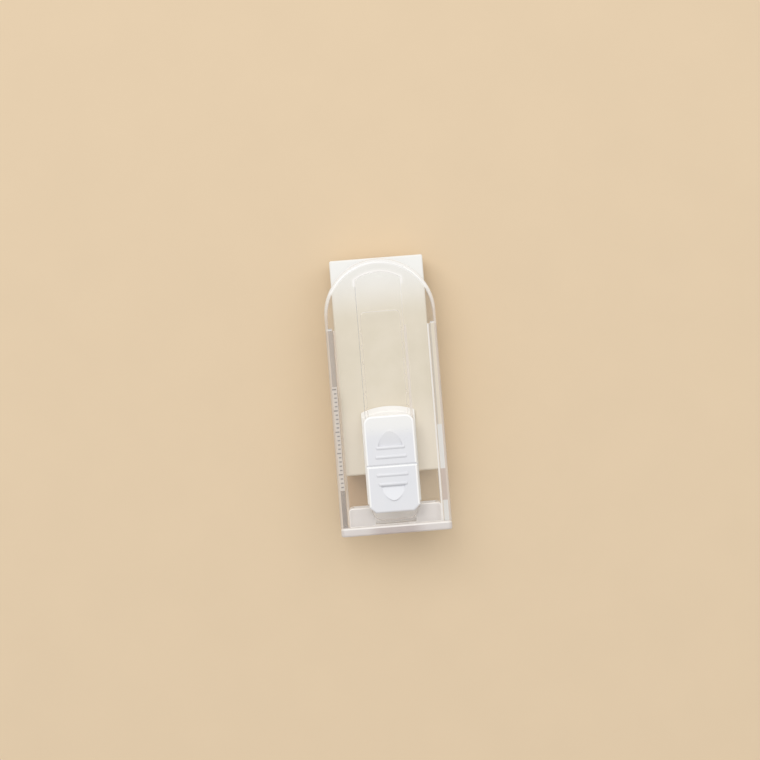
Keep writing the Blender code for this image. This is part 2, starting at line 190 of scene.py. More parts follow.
def trim(obj: bpy.types.Object, point: Vector, normal: Vector) -> None:
    """Cuts off what lies in front of a plane, and closes the cut.

    Args:
        obj: the object to cut.
        point: a point on the plane.
        normal: the plane's normal, towards the side that goes.
    """
    with editing(obj):
        bpy.ops.mesh.select_all(action="SELECT")
        bpy.ops.mesh.bisect(
            plane_co=point, plane_no=normal, use_fill=True, clear_outer=True, threshold=MERGE_DISTANCE
        )


def add_arched_plate(
    name: str, half_width: float, radius: float, low: Vector, high: Vector
) -> bpy.types.Object:
    """A plate with straight sides and an arc across its +Y end.

    Args:
        name: the object's name.
        half_width: half of its width.
        radius: the arc's radius, at least half of the width.
        low: the Y and Z where the plate starts.
        high: the Y and Z where it ends; Y is the top of the arc.

    Returns:
        The new object.
    """
    centre_y = high.y - radius
    middle = Vector((0, centre_y, (low.z + high.z) / 2))
    plate = add_bar(name, radius, middle, high.z - low.z, Axis.Z, sides=256)
    if radius > half_width + NEAR:
        trim(plate, Vector((half_width, 0, 0)), Vector((1, 0, 0)))
        trim(plate, Vector((-half_width, 0, 0)), Vector((-1, 0, 0)))
    rise = math.sqrt(max(radius * radius - half_width * half_width, 0.0))
    foot_y = centre_y + rise - (NEAR if rise else 0)
    trim(plate, Vector((0, foot_y, 0)), Vector((0, -1, 0)))
    with editing(plate, "VERT") as shape:
        for vertex in shape.verts:
            vertex.select_set(vertex.co.y < foot_y + NEAR / 2)
        bpy.ops.transform.translate(value=(0, low.y - foot_y, 0))
    return plate


def round_edges(obj: bpy.types.Object, test: Pick, radius: float, segments: int) -> None:
    """Rounds the edges whose two ends pass a test.

    Args:
        obj: the object.
        test: takes both ends of an edge, and says if it is rounded.
        radius: the rounding's radius.
        segments: how many faces stand for it.
    """
    with editing(obj) as shape:
        for edge in shape.edges:
            edge.select_set(test(edge.verts[0].co, edge.verts[1].co))
        bmesh.update_edit_mesh(obj.data)
        bpy.ops.mesh.bevel(offset=radius, segments=segments, affect="EDGES", clamp_overlap=True)


def round_by_place(
    obj: bpy.types.Object, radius: Callable[[Vector, Vector], float], segments: int
) -> None:
    """Rounds edges, each by its own radius.

    Args:
        obj: the object.
        radius: takes both ends of an edge, and gives its radius, or 0 where it stays sharp.
        segments: how many faces stand for each rounding.
    """
    radii = [radius(*(obj.data.vertices[index].co for index in edge.vertices)) for edge in obj.data.edges]
    largest = max(radii)
    with editing(obj) as shape:
        weights = shape.edges.layers.float.new("bevel_weight_edge")
        shape.edges.ensure_lookup_table()
        for edge, value in zip(shape.edges, radii):
            edge[weights] = value / largest
    rounding = obj.modifiers.new("rounding", "BEVEL")
    rounding.limit_method = "WEIGHT"
    rounding.width = largest
    rounding.segments = segments
    rounding.use_clamp_overlap = False
    select_only(obj)
    bpy.ops.object.modifier_apply(modifier=rounding.name)
    obj.data.attributes.remove(obj.data.attributes["bevel_weight_edge"])


def combine(obj: bpy.types.Object, other: bpy.types.Object, operation: Operation) -> None:
    """Joins another solid on or cuts it away, and removes it.

    Args:
        obj: the solid that stays.
        other: the solid that is used up.
        operation: which of the two it is.
    """
    step = obj.modifiers.new(operation.name.lower(), "BOOLEAN")
    step.operation = operation.value
    step.solver = "EXACT"
    step.object = other
    select_only(obj)
    bpy.ops.object.modifier_apply(modifier=step.name)
    bpy.data.objects.remove(other, do_unlink=True)


def repeat_down(obj: bpy.types.Object, count: int, pitch: float) -> None:
    """Repeats an object in a row that runs along -Y.

    Args:
        obj: the object.
        count: how many the row has.
        pitch: how far apart they are.
    """
    row = obj.modifiers.new("row", "ARRAY")
    row.count = count
    row.use_relative_offset = False
    row.use_constant_offset = True
    row.constant_offset_displace = (0, -pitch, 0)
    select_only(obj)
    bpy.ops.object.modifier_apply(modifier=row.name)


def breadth(face: bmesh.types.BMFace) -> float:
    """How broad a face is beside its longest edge."""
    return face.calc_area() / max(edge.calc_length() for edge in face.edges)


def polish(
    obj: bpy.types.Object,
    edge_radius: float,
    stays: Pick = lambda a, b: False,
    borders: tuple[tuple[Vector, Vector], ...] = (),
    segments: int = 2,
) -> None:
    """Softens the edges that are still sharp, and makes the mesh clean and smooth.

    Args:
        obj: the finished solid.
        edge_radius: how far each sharp edge is taken back.
        stays: takes both ends of an edge, and says if it keeps its shape.
        borders: a point and a normal of each plane that faces are split along, for another finish.
        segments: how many faces stand for each softened edge.
    """
    with editing(obj) as shape:
        bpy.ops.mesh.select_all(action="SELECT")
        bpy.ops.mesh.remove_doubles(threshold=MERGE_DISTANCE)
        bpy.ops.mesh.dissolve_limited(angle_limit=SAME_PLANE_ANGLE)
        bpy.ops.mesh.normals_make_consistent(inside=False)
        bpy.ops.mesh.select_all(action="DESELECT")
        for edge in shape.edges:
            if edge.is_manifold and edge.calc_face_angle() > SHARP_ANGLE:
                edge.select_set(not stays(edge.verts[0].co, edge.verts[1].co))
        bmesh.update_edit_mesh(obj.data)
        bpy.ops.mesh.bevel(
            offset=edge_radius, segments=segments, affect="EDGES", clamp_overlap=False, miter_outer="ARC"
        )
        bpy.ops.mesh.select_all(action="SELECT")
        bpy.ops.mesh.remove_doubles(threshold=MERGE_DISTANCE)
        bpy.ops.mesh.dissolve_degenerate(threshold=MERGE_DISTANCE)
        for point, normal in borders:
            bpy.ops.mesh.select_all(action="SELECT")
            bpy.ops.mesh.bisect(plane_co=point, plane_no=normal, threshold=MERGE_DISTANCE)
        bpy.ops.mesh.select_all(action="DESELECT")
        for edge in shape.edges:
            if edge.is_manifold and edge.calc_face_angle() > CREASE_ANGLE:
                edge.select_set(all(breadth(face) > CREASE_BREADTH for face in edge.link_faces))
        bpy.ops.mesh.mark_sharp()
    select_only(obj)
    bpy.ops.object.shade_smooth_by_angle(angle=SMOOTH_ANGLE)
    even = obj.modifiers.new("even normals", "WEIGHTED_NORMAL")
    even.mode = "FACE_AREA"
    even.weight = 50
    even.keep_sharp = True
    bpy.ops.object.modifier_apply(modifier=even.name)


# Shader tools


class Graph:
    """A node tree that is written a node at a time."""

    def __init__(self, tree: bpy.types.NodeTree) -> None:
        """Args:
            tree: the tree of a material, a group or the world.
        """
        self.tree = tree

    def node(
        self, kind: str, inputs: dict[str | int, object] | None = None, **settings: object
    ) -> bpy.types.Node:
        """Adds a node.

        Args:
            kind: the node's type name.
            inputs: socket name or number to its value, or to the socket that feeds it.
            settings: the node's own settings.

        Returns:
            The new node.
        """
        made = self.tree.nodes.new(kind)
        for name, value in settings.items():
            setattr(made, name, value)
        for key, value in (inputs or {}).items():
            if isinstance(value, bpy.types.NodeSocket):
                self.tree.links.new(value, made.inputs[key])
            else:
                made.inputs[key].default_value = value
        return made

    def maths(
        self, operation: str, first: object, second: object = 0.0, third: object = 0.0
    ) -> bpy.types.NodeSocket:
        """A Math node.

        Args:
            operation: its operation.
            first: its first value or feed.
            second: its second.
            third: its third.

        Returns:
            Its result.
        """
        inputs = {0: first, 1: second, 2: third}
        return self.node("ShaderNodeMath", inputs, operation=operation).outputs[0]

    def blend(self, factor: object, first: object, second: object) -> bpy.types.NodeSocket:
        """A Mix node for colours.

        Args:
            factor: how much of the second colour.
            first: the first colour.
            second: the second colour.

        Returns:
            The mixed colour.
        """
        mix = self.node("ShaderNodeMix", data_type="RGBA")
        sockets = {"Factor": factor, "A": first, "B": second}
        for name, value in sockets.items():
            socket = next(s for s in mix.inputs if s.name == name and s.enabled)
            if isinstance(value, bpy.types.NodeSocket):
                self.tree.links.new(value, socket)
            else:
                socket.default_value = value
        return next(s for s in mix.outputs if s.enabled)

    def span(
        self,
        value: object,
        start: object,
        end: object,
        low: object = 0.0,
        high: object = 1.0,
        **settings: object,
    ) -> bpy.types.NodeSocket:
        """A Map Range node, from a span of a value to another span.

        Args:
            value: the value.
            start: where the first span starts.
            end: where it ends.
            low: where the second span starts.
            high: where it ends.
            settings: the node's own settings.

        Returns:
            The value in the second span.
        """
        inputs = {"Value": value, "From Min": start, "From Max": end, "To Min": low, "To Max": high}
        return self.node("ShaderNodeMapRange", inputs, **settings).outputs[0]

    def object_place(self) -> bpy.types.NodeSocket:
        """The place on the piece, in metres."""
        return self.node("ShaderNodeTexCoord").outputs["Object"]


def grey(value: float) -> Colour:
    """A grey of this value, with full alpha."""
    return (value, value, value, 1.0)


def linear(red: int, green: int, blue: int) -> Colour:
    """A colour as a picture shows it, turned into a shader's colour.

    Args:
        red: red, 0 to 255.
        green: green, 0 to 255.
        blue: blue, 0 to 255.

    Returns:
        Red, green, blue and full alpha, 0 to 1.
    """
    shares = [value / 255 for value in (red, green, blue)]
    return (*[s / 12.92 if s <= 0.04045 else ((s + 0.055) / 1.055) ** 2.4 for s in shares], 1.0)


def new_group(
    name: str, inputs: dict[str, float | tuple[float, ...]], outputs: dict[str, str]
) -> Graph:
    """Starts a shader node group.

    Args:
        name: the group's name.
        inputs: each input's name and default; a tuple is a colour.
        outputs: each output's name and socket type.

    Returns:
        The graph inside, which has its group input node as its first node.
    """
    tree = bpy.data.node_groups.new(name, "ShaderNodeTree")
    for label, default in inputs.items():
        kind = "NodeSocketColor" if isinstance(default, tuple) else "NodeSocketFloat"
        tree.interface.new_socket(label, in_out="INPUT", socket_type=kind).default_value = default
    for label, kind in outputs.items():
        tree.interface.new_socket(label, in_out="OUTPUT", socket_type=kind)
    graph = Graph(tree)
    graph.node("NodeGroupInput")
    return graph


def surface_grain_group() -> bpy.types.NodeTree:
    """A fine grain: a roughness that wanders between two values, and a height for bump.

    Returns:
        The group.
    """
    graph = new_group(
        "surface grain",
        {"Grains Per Metre": 2500.0, "Smoothest": 0.3, "Roughest": 0.5},
        {"Roughness": "NodeSocketFloat", "Height": "NodeSocketFloat"},
    )
    given = graph.tree.nodes[0].outputs
    place = graph.object_place()
    speckle = {"Vector": place, "Scale": given["Grains Per Metre"], "Detail": 3.0, "Roughness": 0.6}
    fine = graph.node("ShaderNodeTexNoise", speckle)
    slow_scale = graph.maths("MULTIPLY", given["Grains Per Metre"], 0.08)
    slow = graph.node("ShaderNodeTexNoise", {"Vector": place, "Scale": slow_scale, "Detail": 2.0})
    fine_half = graph.maths("MULTIPLY", fine.outputs[0], 0.5)
    slow_half = graph.maths("MULTIPLY", slow.outputs[0], 0.5)
    both = graph.maths("ADD", fine_half, slow_half)
    spread = graph.span(both, 0.35, 0.65, given["Smoothest"], given["Roughest"])
    graph.node("NodeGroupOutput", {"Roughness": spread, "Height": fine.outputs[0]})
    return graph.tree


def hairline_group() -> bpy.types.NodeTree:
    """Thin, patchy hairline scratches along the way that the piece is handled.

    Returns:
        The group.
    """
    graph = new_group(
        "hairline scratches",
        {"Lines Per Metre": 900.0, "Line Share": 0.012, "Patch Share": 0.45},
        {"Mask": "NodeSocketFloat"},
    )
    given = graph.tree.nodes[0].outputs
    place = graph.object_place()
    masks = []
    for turn in (0.12, -0.55):
        stretched = {"Vector": place, "Rotation": (0.0, 0.0, turn), "Scale": (1.0, 0.06, 1.0)}
        along = graph.node("ShaderNodeMapping", stretched).outputs[0]
        strands = {"Vector": along, "Scale": given["Lines Per Metre"], "Detail": 1.0}
        noise = graph.node("ShaderNodeTexNoise", strands)
        off = graph.maths("ABSOLUTE", graph.maths("SUBTRACT", noise.outputs[0], 0.5))
        masks.append(graph.span(off, 0.0, given["Line Share"], 1.0, 0.0))
    lines = graph.maths("MAXIMUM", masks[0], masks[1])
    patches = graph.node("ShaderNodeTexNoise", {"Vector": place, "Scale": 180.0, "Detail": 2.0})
    shown = graph.span(patches.outputs[0], given["Patch Share"], 0.7)
    graph.node("NodeGroupOutput", {"Mask": graph.maths("MULTIPLY", lines, shown)})
    return graph.tree


def mottle_group() -> bpy.types.NodeTree:
    """Soft clouds between two colours, with a finer speck on top.

    Returns:
        The group.
    """
    inputs = {"Base": grey(0.8), "Cloud": grey(0.7), "Clouds Per Metre": 150.0, "Amount": 1.0}
    graph = new_group("soft mottle", inputs, {"Color": "NodeSocketColor"})
    given = graph.tree.nodes[0].outputs
    place = graph.object_place()
    billows = {"Vector": place, "Scale": given["Clouds Per Metre"], "Detail": 5.0, "Roughness": 0.55}
    clouds = graph.node("ShaderNodeTexNoise", billows)
    share = graph.maths("MULTIPLY", graph.span(clouds.outputs[0], 0.35, 0.65), given["Amount"])
    graph.node("NodeGroupOutput", {"Color": graph.blend(share, given["Base"], given["Cloud"])})
    return graph.tree


# Finishes


class Effects:
    """The node groups that several finishes share, each built once."""

    makers: ClassVar[dict[str, Callable[[], bpy.types.NodeTree]]] = {
        "surface grain": surface_grain_group,
        "hairline scratches": hairline_group,
        "soft mottle": mottle_group,
    }

    @classmethod
    def place(cls, graph: Graph, name: str, inputs: dict[str | int, object]) -> bpy.types.Node:
        """Puts one of the groups into a material.

        Args:
            graph: the material's graph.
            name: the group's name.
            inputs: the group's values there.

        Returns:
            The group node.
        """
        tree = bpy.data.node_groups.get(name) or cls.makers[name]()
        return graph.node("ShaderNodeGroup", inputs, node_tree=tree)


class Ray(Enum):
    """A kind of light that passes through plastic, by its name on the Light Path node."""

    DIFFUSE = "Is Diffuse Ray"
    SHADOW = "Is Shadow Ray"


class Across(Enum):
    """Which of a place's coordinates a colour fades along."""

    X = "X"
    Y = "Y"


@dataclass(frozen=True)
class Fade:
    """A second colour that takes over along one axis of a piece."""

    colour: Colour
    axis: Across
    start: float
    end: float
    mirrored: bool = False

    def over(self, graph: Graph, colour: bpy.types.NodeSocket | tuple[float, ...]) -> bpy.types.NodeSocket:
        """Blends the second colour over the first, by the distance from the middle if it is mirrored.

        Args:
            graph: the material's graph.
            colour: the first colour.

        Returns:
            The blended colour.
        """
        place = graph.node("ShaderNodeSeparateXYZ", {0: graph.object_place()}).outputs[self.axis.value]
        if self.mirrored:
            place = graph.maths("ABSOLUTE", place)
        share = graph.span(place, self.start, self.end, interpolation_type="SMOOTHERSTEP")
        return graph.blend(share, colour, self.colour)


@dataclass(frozen=True)
class Finish:
    """What every finish shares: a name, a colour and a grain."""

    name: str
    colour: Colour
    smoothest: float
    roughest: float
    grains_per_metre: float = 2500.0
    bump_metres: float = 0.00001

    def start(self) -> tuple[bpy.types.Material, Graph, bpy.types.Node, bpy.types.Node]:
        """Makes the material with its grain.

        Returns:
            The material, its graph, its Principled shader and its output node.
        """
        material = bpy.data.materials.new(self.name)
        material.use_nodes = True
        graph = Graph(material.node_tree)
        shader = material.node_tree.nodes["Principled BSDF"]
        output = material.node_tree.nodes["Material Output"]
        rough = {"Smoothest": self.smoothest, "Roughest": self.roughest}
        grain = Effects.place(graph, "surface grain", {"Grains Per Metre": self.grains_per_metre, **rough})
        height = {"Strength": 1.0, "Distance": self.bump_metres, "Height": grain.outputs["Height"]}
        bump = graph.node("ShaderNodeBump", height)
        shader.inputs["Base Color"].default_value = self.colour
        graph.tree.links.new(grain.outputs["Roughness"], shader.inputs["Roughness"])
        graph.tree.links.new(bump.outputs[0], shader.inputs["Normal"])
        return material, graph, shader, output

    def cover(
        self,
        graph: Graph,
        shader: bpy.types.Node,
        colour: bpy.types.NodeSocket | Colour,
        fades: tuple[Fade, ...],
    ) -> None:
        """Feeds a colour to the shader, with further colours over it.

        Args:
            graph: the material's graph.
            shader: its Principled shader.
            colour: the first colour.
            fades: the further colours, each over the one before.
        """
        for fade in fades:
            colour = fade.over(graph, colour)
        graph.tree.links.new(colour, shader.inputs["Base Color"])

    def scratch(
        self, graph: Graph, shader: bpy.types.Node, roughness: float, inputs: dict[str | int, object]
    ) -> None:
        """Adds hairline scratches to the roughness.

        Args:
            graph: the material's graph.
            shader: its Principled shader, whose grain is in place.
            roughness: how much rougher a scratch is.
            inputs: the scratches' values.
        """
        lines = Effects.place(graph, "hairline scratches", inputs)
        grain = shader.inputs["Roughness"].links[0].from_socket
        rough = graph.maths("ADD", grain, graph.maths("MULTIPLY", lines.outputs[0], roughness))
        graph.tree.links.new(rough, shader.inputs["Roughness"])

    def let_through(
        self, graph: Graph, shader: bpy.types.Node, output: bpy.types.Node, tint: Colour
    ) -> None:
        """Lets lamp light and soft light reach what is behind the plastic, tinted as they pass each face.

        Args:
            graph: the material's graph.
            shader: its Principled shader.
            output: its output node.
            tint: the share of each colour that passes a face.
        """
        kinds = graph.node("ShaderNodeLightPath").outputs
        clear = graph.node("ShaderNodeBsdfTransparent", {"Color": tint}).outputs[0]
        mixed = shader.outputs[0]
        for ray in Ray:
            mixed = graph.node("ShaderNodeMixShader", {0: kinds[ray.value], 1: mixed, 2: clear}).outputs[0]
        graph.tree.links.new(mixed, output.inputs["Surface"])


@dataclass(frozen=True)
class ClearPlastic(Finish):
    """Polished clear moulding, with a few hairlines from a pencil case."""

    passes: Colour = (0.99, 0.988, 0.984, 1.0)

    def build(self, *fades: Fade) -> bpy.types.Material:
        """Builds the material.

        Args:
            fades: further tints along the piece, each over the one before.

        Returns:
            The material.
        """
        material, graph, shader, output = self.start()
        if fades:
            self.cover(graph, shader, self.colour, fades)
        self.scratch(graph, shader, 0.12, {})
        shader.inputs["Transmission Weight"].default_value = 1.0
        shader.inputs["IOR"].default_value = 1.49
        self.let_through(graph, shader, output, self.passes)
        return material


@dataclass(frozen=True)
class MilkyPlastic(Finish):
    """Translucent moulding in soft clouds. On the clear case it carries painted light: pale finishes are
    painted highlights, grey ones painted shade.
    """

    cloud: Colour = grey(0.8)
    passes: Colour = (0.9, 0.89, 0.885, 1.0)
    see_through: float = 0.35

    def build(self, *fades: Fade) -> bpy.types.Material:
        """Builds the material.

        Args:
            fades: further colours along the piece, each over the one before.

        Returns:
            The material.
        """
        material, graph, shader, output = self.start()
        mottle = Effects.place(graph, "soft mottle", {"Base": self.colour, "Cloud": self.cloud})
        self.cover(graph, shader, mottle.outputs[0], fades)
        shader.inputs["Transmission Weight"].default_value = self.see_through
        shader.inputs["IOR"].default_value = 1.45
        self.let_through(graph, shader, output, self.passes)
        return material


@dataclass(frozen=True)
class WhitePlastic(Finish):
    """Satin white moulding with a few hairline scratches."""

    cloud: Colour = grey(0.8)

    def build(self, *fades: Fade) -> bpy.types.Material:
        """Builds the material.

        Args:
            fades: further colours along the piece, each over the one before.

        Returns:
            The material.
        """
        material, graph, shader, _ = self.start()
        mottle = Effects.place(graph, "soft mottle", {"Base": self.colour, "Cloud": self.cloud})
        self.cover(graph, shader, mottle.outputs[0], fades)
        self.scratch(graph, shader, 0.06, {"Line Share": 0.008})
        return material


@dataclass(frozen=True)
class EraserVinyl(Finish):
    """Matt cream vinyl with painted light: whiter towards its working end, and paler towards its rear to lift
    the shade under the pad.
    """

    cloud: Colour = (0.7, 0.65, 0.5, 1.0)
    # painted light: the tip colour whitens the working end, the rear colour lifts the shade under the pad
    tip: Colour = (0.95, 0.95, 0.94, 1.0)
    rear: Colour = (0.8, 0.75, 0.6, 1.0)
    tip_light_fade: float = 17.5 * MM
    rear_light_fade: float = 23 * MM

    def build(self, rear_y: float, tip_y: float) -> bpy.types.Material:
        """Builds the material.

        Args:
            rear_y: where the block's rear end is.
            tip_y: where its working end is.

        Returns:
            The material.
        """
        material, graph, shader, _ = self.start()
        clouds = {"Base": self.colour, "Cloud": self.cloud, "Clouds Per Metre": 220.0, "Amount": 0.6}
        mottle = Effects.place(graph, "soft mottle", clouds)
        # painted light over the mottle: paler at the rear under the pad, whiter at the working end
        rear = Fade(self.rear, Across.Y, rear_y + self.rear_light_fade, rear_y + 0.25 * self.rear_light_fade)
        tip = Fade(self.tip, Across.Y, tip_y - self.tip_light_fade, tip_y)
        self.cover(graph, shader, mottle.outputs[0], (rear, tip))
        return material


@dataclass(frozen=True)
class PrintedInk(Finish):
    """A thin printed layer, a little uneven."""

    cloud: Colour = grey(0.3)

    def build(self) -> bpy.types.Material:
        """Returns: the material."""
        material, graph, shader, _ = self.start()
        clouds = {"Base": self.colour, "Cloud": self.cloud, "Clouds Per Metre": 1500.0}
        self.cover(graph, shader, Effects.place(graph, "soft mottle", clouds).outputs[0], ())
        return material


# Pieces


@dataclass(frozen=True)
class Patch:
    """Another finish on some faces of a piece, which are known by their middle and normal."""

    material: bpy.types.Material
    covers: Pick


def install(
    piece: bpy.types.Object,
    body: str,
    material: bpy.types.Material,
    stands_for: str | None = None,
    patches: tuple[Patch, ...] = (),
) -> None:
    """Dresses a finished piece and hands it to the frame.

    Args:
        piece: the piece.
        body: the body that it moves with.
        material: its finish.
        stands_for: the node that it takes the place of.
        patches: other finishes on some of its faces.
    """
    piece.data.materials.clear()
    piece.data.materials.append(material)
    for index, patch in enumerate(patches, 1):
        piece.data.materials.append(patch.material)
        piece.active_material_index = index
        with editing(piece, "FACE") as shape:
            for face in shape.faces:
                face.select_set(patch.covers(face.calc_center_median(), face.normal))
            bmesh.update_edit_mesh(piece.data)
            bpy.ops.object.material_slot_assign()
    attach(piece, body)
    if stands_for:
        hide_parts(stands_for)
    LOG.info("%s: %d faces, on %s", piece.name, len(piece.data.polygons), body)


@dataclass
class CaseSizes:
    """The clear case's sizes. Drops are distances from the top of its arch."""

    low: Vector
    high: Vector
    side_wall: float = 1.75 * MM
    front_wall: float = 1.5 * MM
    back_wall: float = 1.5 * MM
    edge_radius: float = 0.6 * MM
    arch_edge_radius: float = 1.15 * MM
    mouth_drop: float = 16.1 * MM
    channel_width: float = 10.8 * MM
    channel_depth: float = 0.5 * MM
    channel_drop: float = 3.1 * MM
    channel_foot_margin: float = 0.9 * MM
    channel_foot_radius: float = 2.5 * MM
    channel_top_radius: float = 0.5 * MM
    channel_rounding: float = 0.12 * MM
    step_width: float = 0.5 * MM
    step_depth: float = 0.08 * MM
    step_rounding: float = 0.15 * MM
    slot_width: float = 9.1 * MM
    slot_top_drop: float = 12.45 * MM
    slot_foot_drop: float = 58.3 * MM
    slot_corner_radius: float = 1.0 * MM
    slot_rounding: float = 0.24 * MM
    slot_inner_rounding: float = 0.15 * MM
    first_stop_drop: float = 16.9 * MM
    stop_pitch: float = 3.65 * MM
    stops: int = 8
    stop_radius: float = 0.4 * MM
    stop_flare: float = 0.14 * MM
    stop_reach: float = 0.9 * MM
    room_radius: float = 0.5 * MM
    ledge_radius: float = 0.5 * MM
    ledge_margin: float = 0.25 * MM
    foot_reach: float = 0.25 * MM
    base_rise: float = 1.0 * MM
    softening: float = 0.15 * MM
    edge_zone: float = 0.3 * MM

    @property
    def half_width(self) -> float:
        """Half of the case's width, which is the radius of its arch too."""
        return self.high.x

    @property
    def inner_half(self) -> float:
        """Half of the width of the room for the eraser."""
        return self.half_width - self.side_wall

    @property
    def slot_half(self) -> float:
        """Half of the slot's width."""
        return self.slot_width / 2

    @property
    def inner_front_z(self) -> float:
        """Where the front wall's inner face is."""
        return self.high.z - self.front_wall

    @property
    def channel_z(self) -> float:
        """Where the channel's floor is."""
        return self.high.z - self.channel_depth

    @property
    def step_z(self) -> float:
        """Where the shallow step round the channel is."""
        return self.high.z - self.step_depth

    @property
    def step_top_y(self) -> float:
        """Where the step round the channel ends, just past the top of its arc."""
        return self.y_at(self.channel_drop) + self.step_width + NEAR

    @property
    def straight_foot_y(self) -> float:
        """Where the channel's straight sides start."""
        return self.low.y + self.channel_foot_margin + self.channel_foot_radius

    @property
    def mouth_y(self) -> float:
        """Where the side walls end, below the arch."""
        return self.y_at(self.mouth_drop)

    @property
    def slot_top_y(self) -> float:
        """Where the slot ends, below the arch."""
        return self.y_at(self.slot_top_drop)

    def y_at(self, drop: float) -> float:
        """The Y of a place this far below the top of the arch."""
        return self.high.y - drop


@dataclass(frozen=True)
class PaintedStretch:
    """A painted shade or painted light that a side wall has from one drop on, after what stands behind it at
    rest.
    """

    drop: float
    colour: Colour


@dataclass
class ClearCase:
    """The clear case: an arched box that is open at both ends, with a channel and a slot in front."""

    sizes: CaseSizes
    finish: ClearPlastic
    # The finishes and colours from here on are painted light on the clear plastic: pale ones painted
    # highlights, grey and brown ones painted shade.
    rim: MilkyPlastic
    edge_on: MilkyPlastic
    right_edge_on: MilkyPlastic
    bead: MilkyPlastic
    channel_rim_highlight: MilkyPlastic
    base: MilkyPlastic
    left_foot_painted_shade: Colour
    right_painted_shade_line: Colour
    painted_right_stretches: tuple[PaintedStretch, ...]
    floor_painted_shade: Colour
    right_painted_highlight: Colour
    arch_painted_highlight: Colour
    line_inset: float = 1.85 * MM
    line_width: float = 0.4 * MM
    line_edges: tuple[float, float] = (0.1 * MM, 0.15 * MM)
    stretch_edge: float = 0.3 * MM
    arch_highlight_span: tuple[float, float] = (-2 * MM, 5 * MM)

    def body(self) -> bpy.types.Object:
        """The arched block with its outer edges rounded.

        Returns:
            The block.
        """
        s = self.sizes
        low = s.low - Vector((0, s.foot_reach, 0))
        block = add_arched_plate("clear_case_shell", s.half_width, s.half_width, low, s.high)
        centre_y = s.high.y - s.half_width

        def radius(a: Vector, b: Vector) -> float:
            """The rounding of an edge, which grows as the arch climbs in front.

            Args:
                a: the edge's first end.
                b: its second end.

            Returns:
                The radius.
            """
            front = min(a.z, b.z) > s.high.z - NEAR
            back = max(a.z, b.z) < s.low.z + NEAR
            if max(a.y, b.y) < low.y + NEAR or not (front or back):
                return 0.0
            climb = max((a.y + b.y) / 2 - centre_y, 0) / s.half_width if front else 0
            return s.edge_radius + (s.arch_edge_radius - s.edge_radius) * climb

        round_by_place(block, radius, 6)
        return block

    def hollow(self, block: bpy.types.Object) -> None:
        """Cuts the room for the eraser, opens the sides below the arch, and welds a bead on each side wall.

        Args:
            block: the arched block.
        """
        s = self.sizes
        low = Vector((-s.inner_half, s.low.y - CUT_MARGIN, s.back_wall))
        high = Vector((s.inner_half, s.high.y + CUT_MARGIN, s.inner_front_z))
        room = add_block("room", low, high)
        round_edges(room, lambda a, b: abs(a.x - b.x) < NEAR and abs(a.z - b.z) < NEAR, s.room_radius, 4)
        combine(block, room, Operation.CUT)
        wide = s.half_width + CUT_MARGIN
        mouth_low = Vector((-wide, s.mouth_y, s.back_wall))
        mouth_high = Vector((wide, s.high.y + CUT_MARGIN, s.inner_front_z))
        combine(block, add_block("mouth", mouth_low, mouth_high), Operation.CUT)
        length = s.side_wall - 2 * s.ledge_margin
        for side in (-1, 1):
            x = side * (s.half_width - s.side_wall / 2)
            middle = Vector((x, mouth_low.y, s.inner_front_z))
            combine(block, add_bar("ledge", s.ledge_radius, middle, length, Axis.X, sides=32), Operation.ADD)

    def front_cuts(self, block: bpy.types.Object) -> None:
        """Cuts the channel and the step round it, the slot in its floor and the click notches.

        Args:
            block: the hollowed block.
        """
        s = self.sizes
        low = Vector((0, s.low.y + s.channel_foot_margin, s.channel_z))
        high = Vector((0, s.y_at(s.channel_drop), s.high.z + CUT_MARGIN))
        combine(block, self.channel_cutter("channel", low, high, 0.0), Operation.CUT)
        step = self.channel_cutter("step", Vector((0, low.y, s.step_z)), high, s.step_width)
        combine(block, step, Operation.CUT)
        reach = s.channel_width / 2 + NEAR
        self.round_outline(block, s.step_z, reach, high.y + NEAR, s.step_rounding)
        self.round_outline(block, s.channel_z, reach, high.y + NEAR, s.channel_rounding)
        slot_low = Vector((-s.slot_half, s.y_at(s.slot_foot_drop), s.inner_front_z - CUT_MARGIN / 2))
        slot_high = Vector((s.slot_half, s.slot_top_y, s.high.z + CUT_MARGIN))
        slot = add_block("slot", slot_low, slot_high)
        round_edges(slot, lambda a, b: abs(a.z - b.z) > NEAR, s.slot_corner_radius, 8)
        combine(block, slot, Operation.CUT)
        reach = s.slot_half + NEAR
        self.round_outline(block, s.channel_z, reach, slot_high.y + NEAR, s.slot_rounding)
        self.round_outline(block, s.inner_front_z, reach, slot_high.y + NEAR, s.slot_inner_rounding)
        combine(block, self.notches(), Operation.CUT)
        combine(block, self.notches(flare=s.stop_flare), Operation.CUT)

    def channel_cutter(self, name: str, low: Vector, high: Vector, wider: float) -> bpy.types.Object:
        """The channel's shape, or a wider one.

        Args:
            name: the object's name.
            low: the Y and Z where the channel starts.
            high: the Y and Z where it ends.
            wider: how much wider it is all round.

        Returns:
            The solid to cut with.
        """
        s = self.sizes
        half = s.channel_width / 2 + wider
        radius = s.half_width - s.channel_drop + wider
        foot_y = low.y - wider
        start, end = Vector((0, foot_y, low.z)), Vector((0, high.y + wider, high.z))
        cutter = add_arched_plate(name, half, radius, start, end)

        def at_foot(a: Vector, b: Vector) -> bool:
            """An upright edge at the foot."""
            return abs(a.z - b.z) > NEAR and max(a.y, b.y) < foot_y + NEAR

        def at_top(a: Vector, b: Vector) -> bool:
            """An upright edge where a straight side meets the arc."""
            at_side = min(abs(a.x), abs(b.x)) > half - NEAR
            return abs(a.z - b.z) > NEAR and at_side and min(a.y, b.y) > foot_y + half

        round_edges(cutter, at_foot, s.channel_foot_radius + wider, 10)
        round_edges(cutter, at_top, s.channel_top_radius + wider, 4)
        return cutter

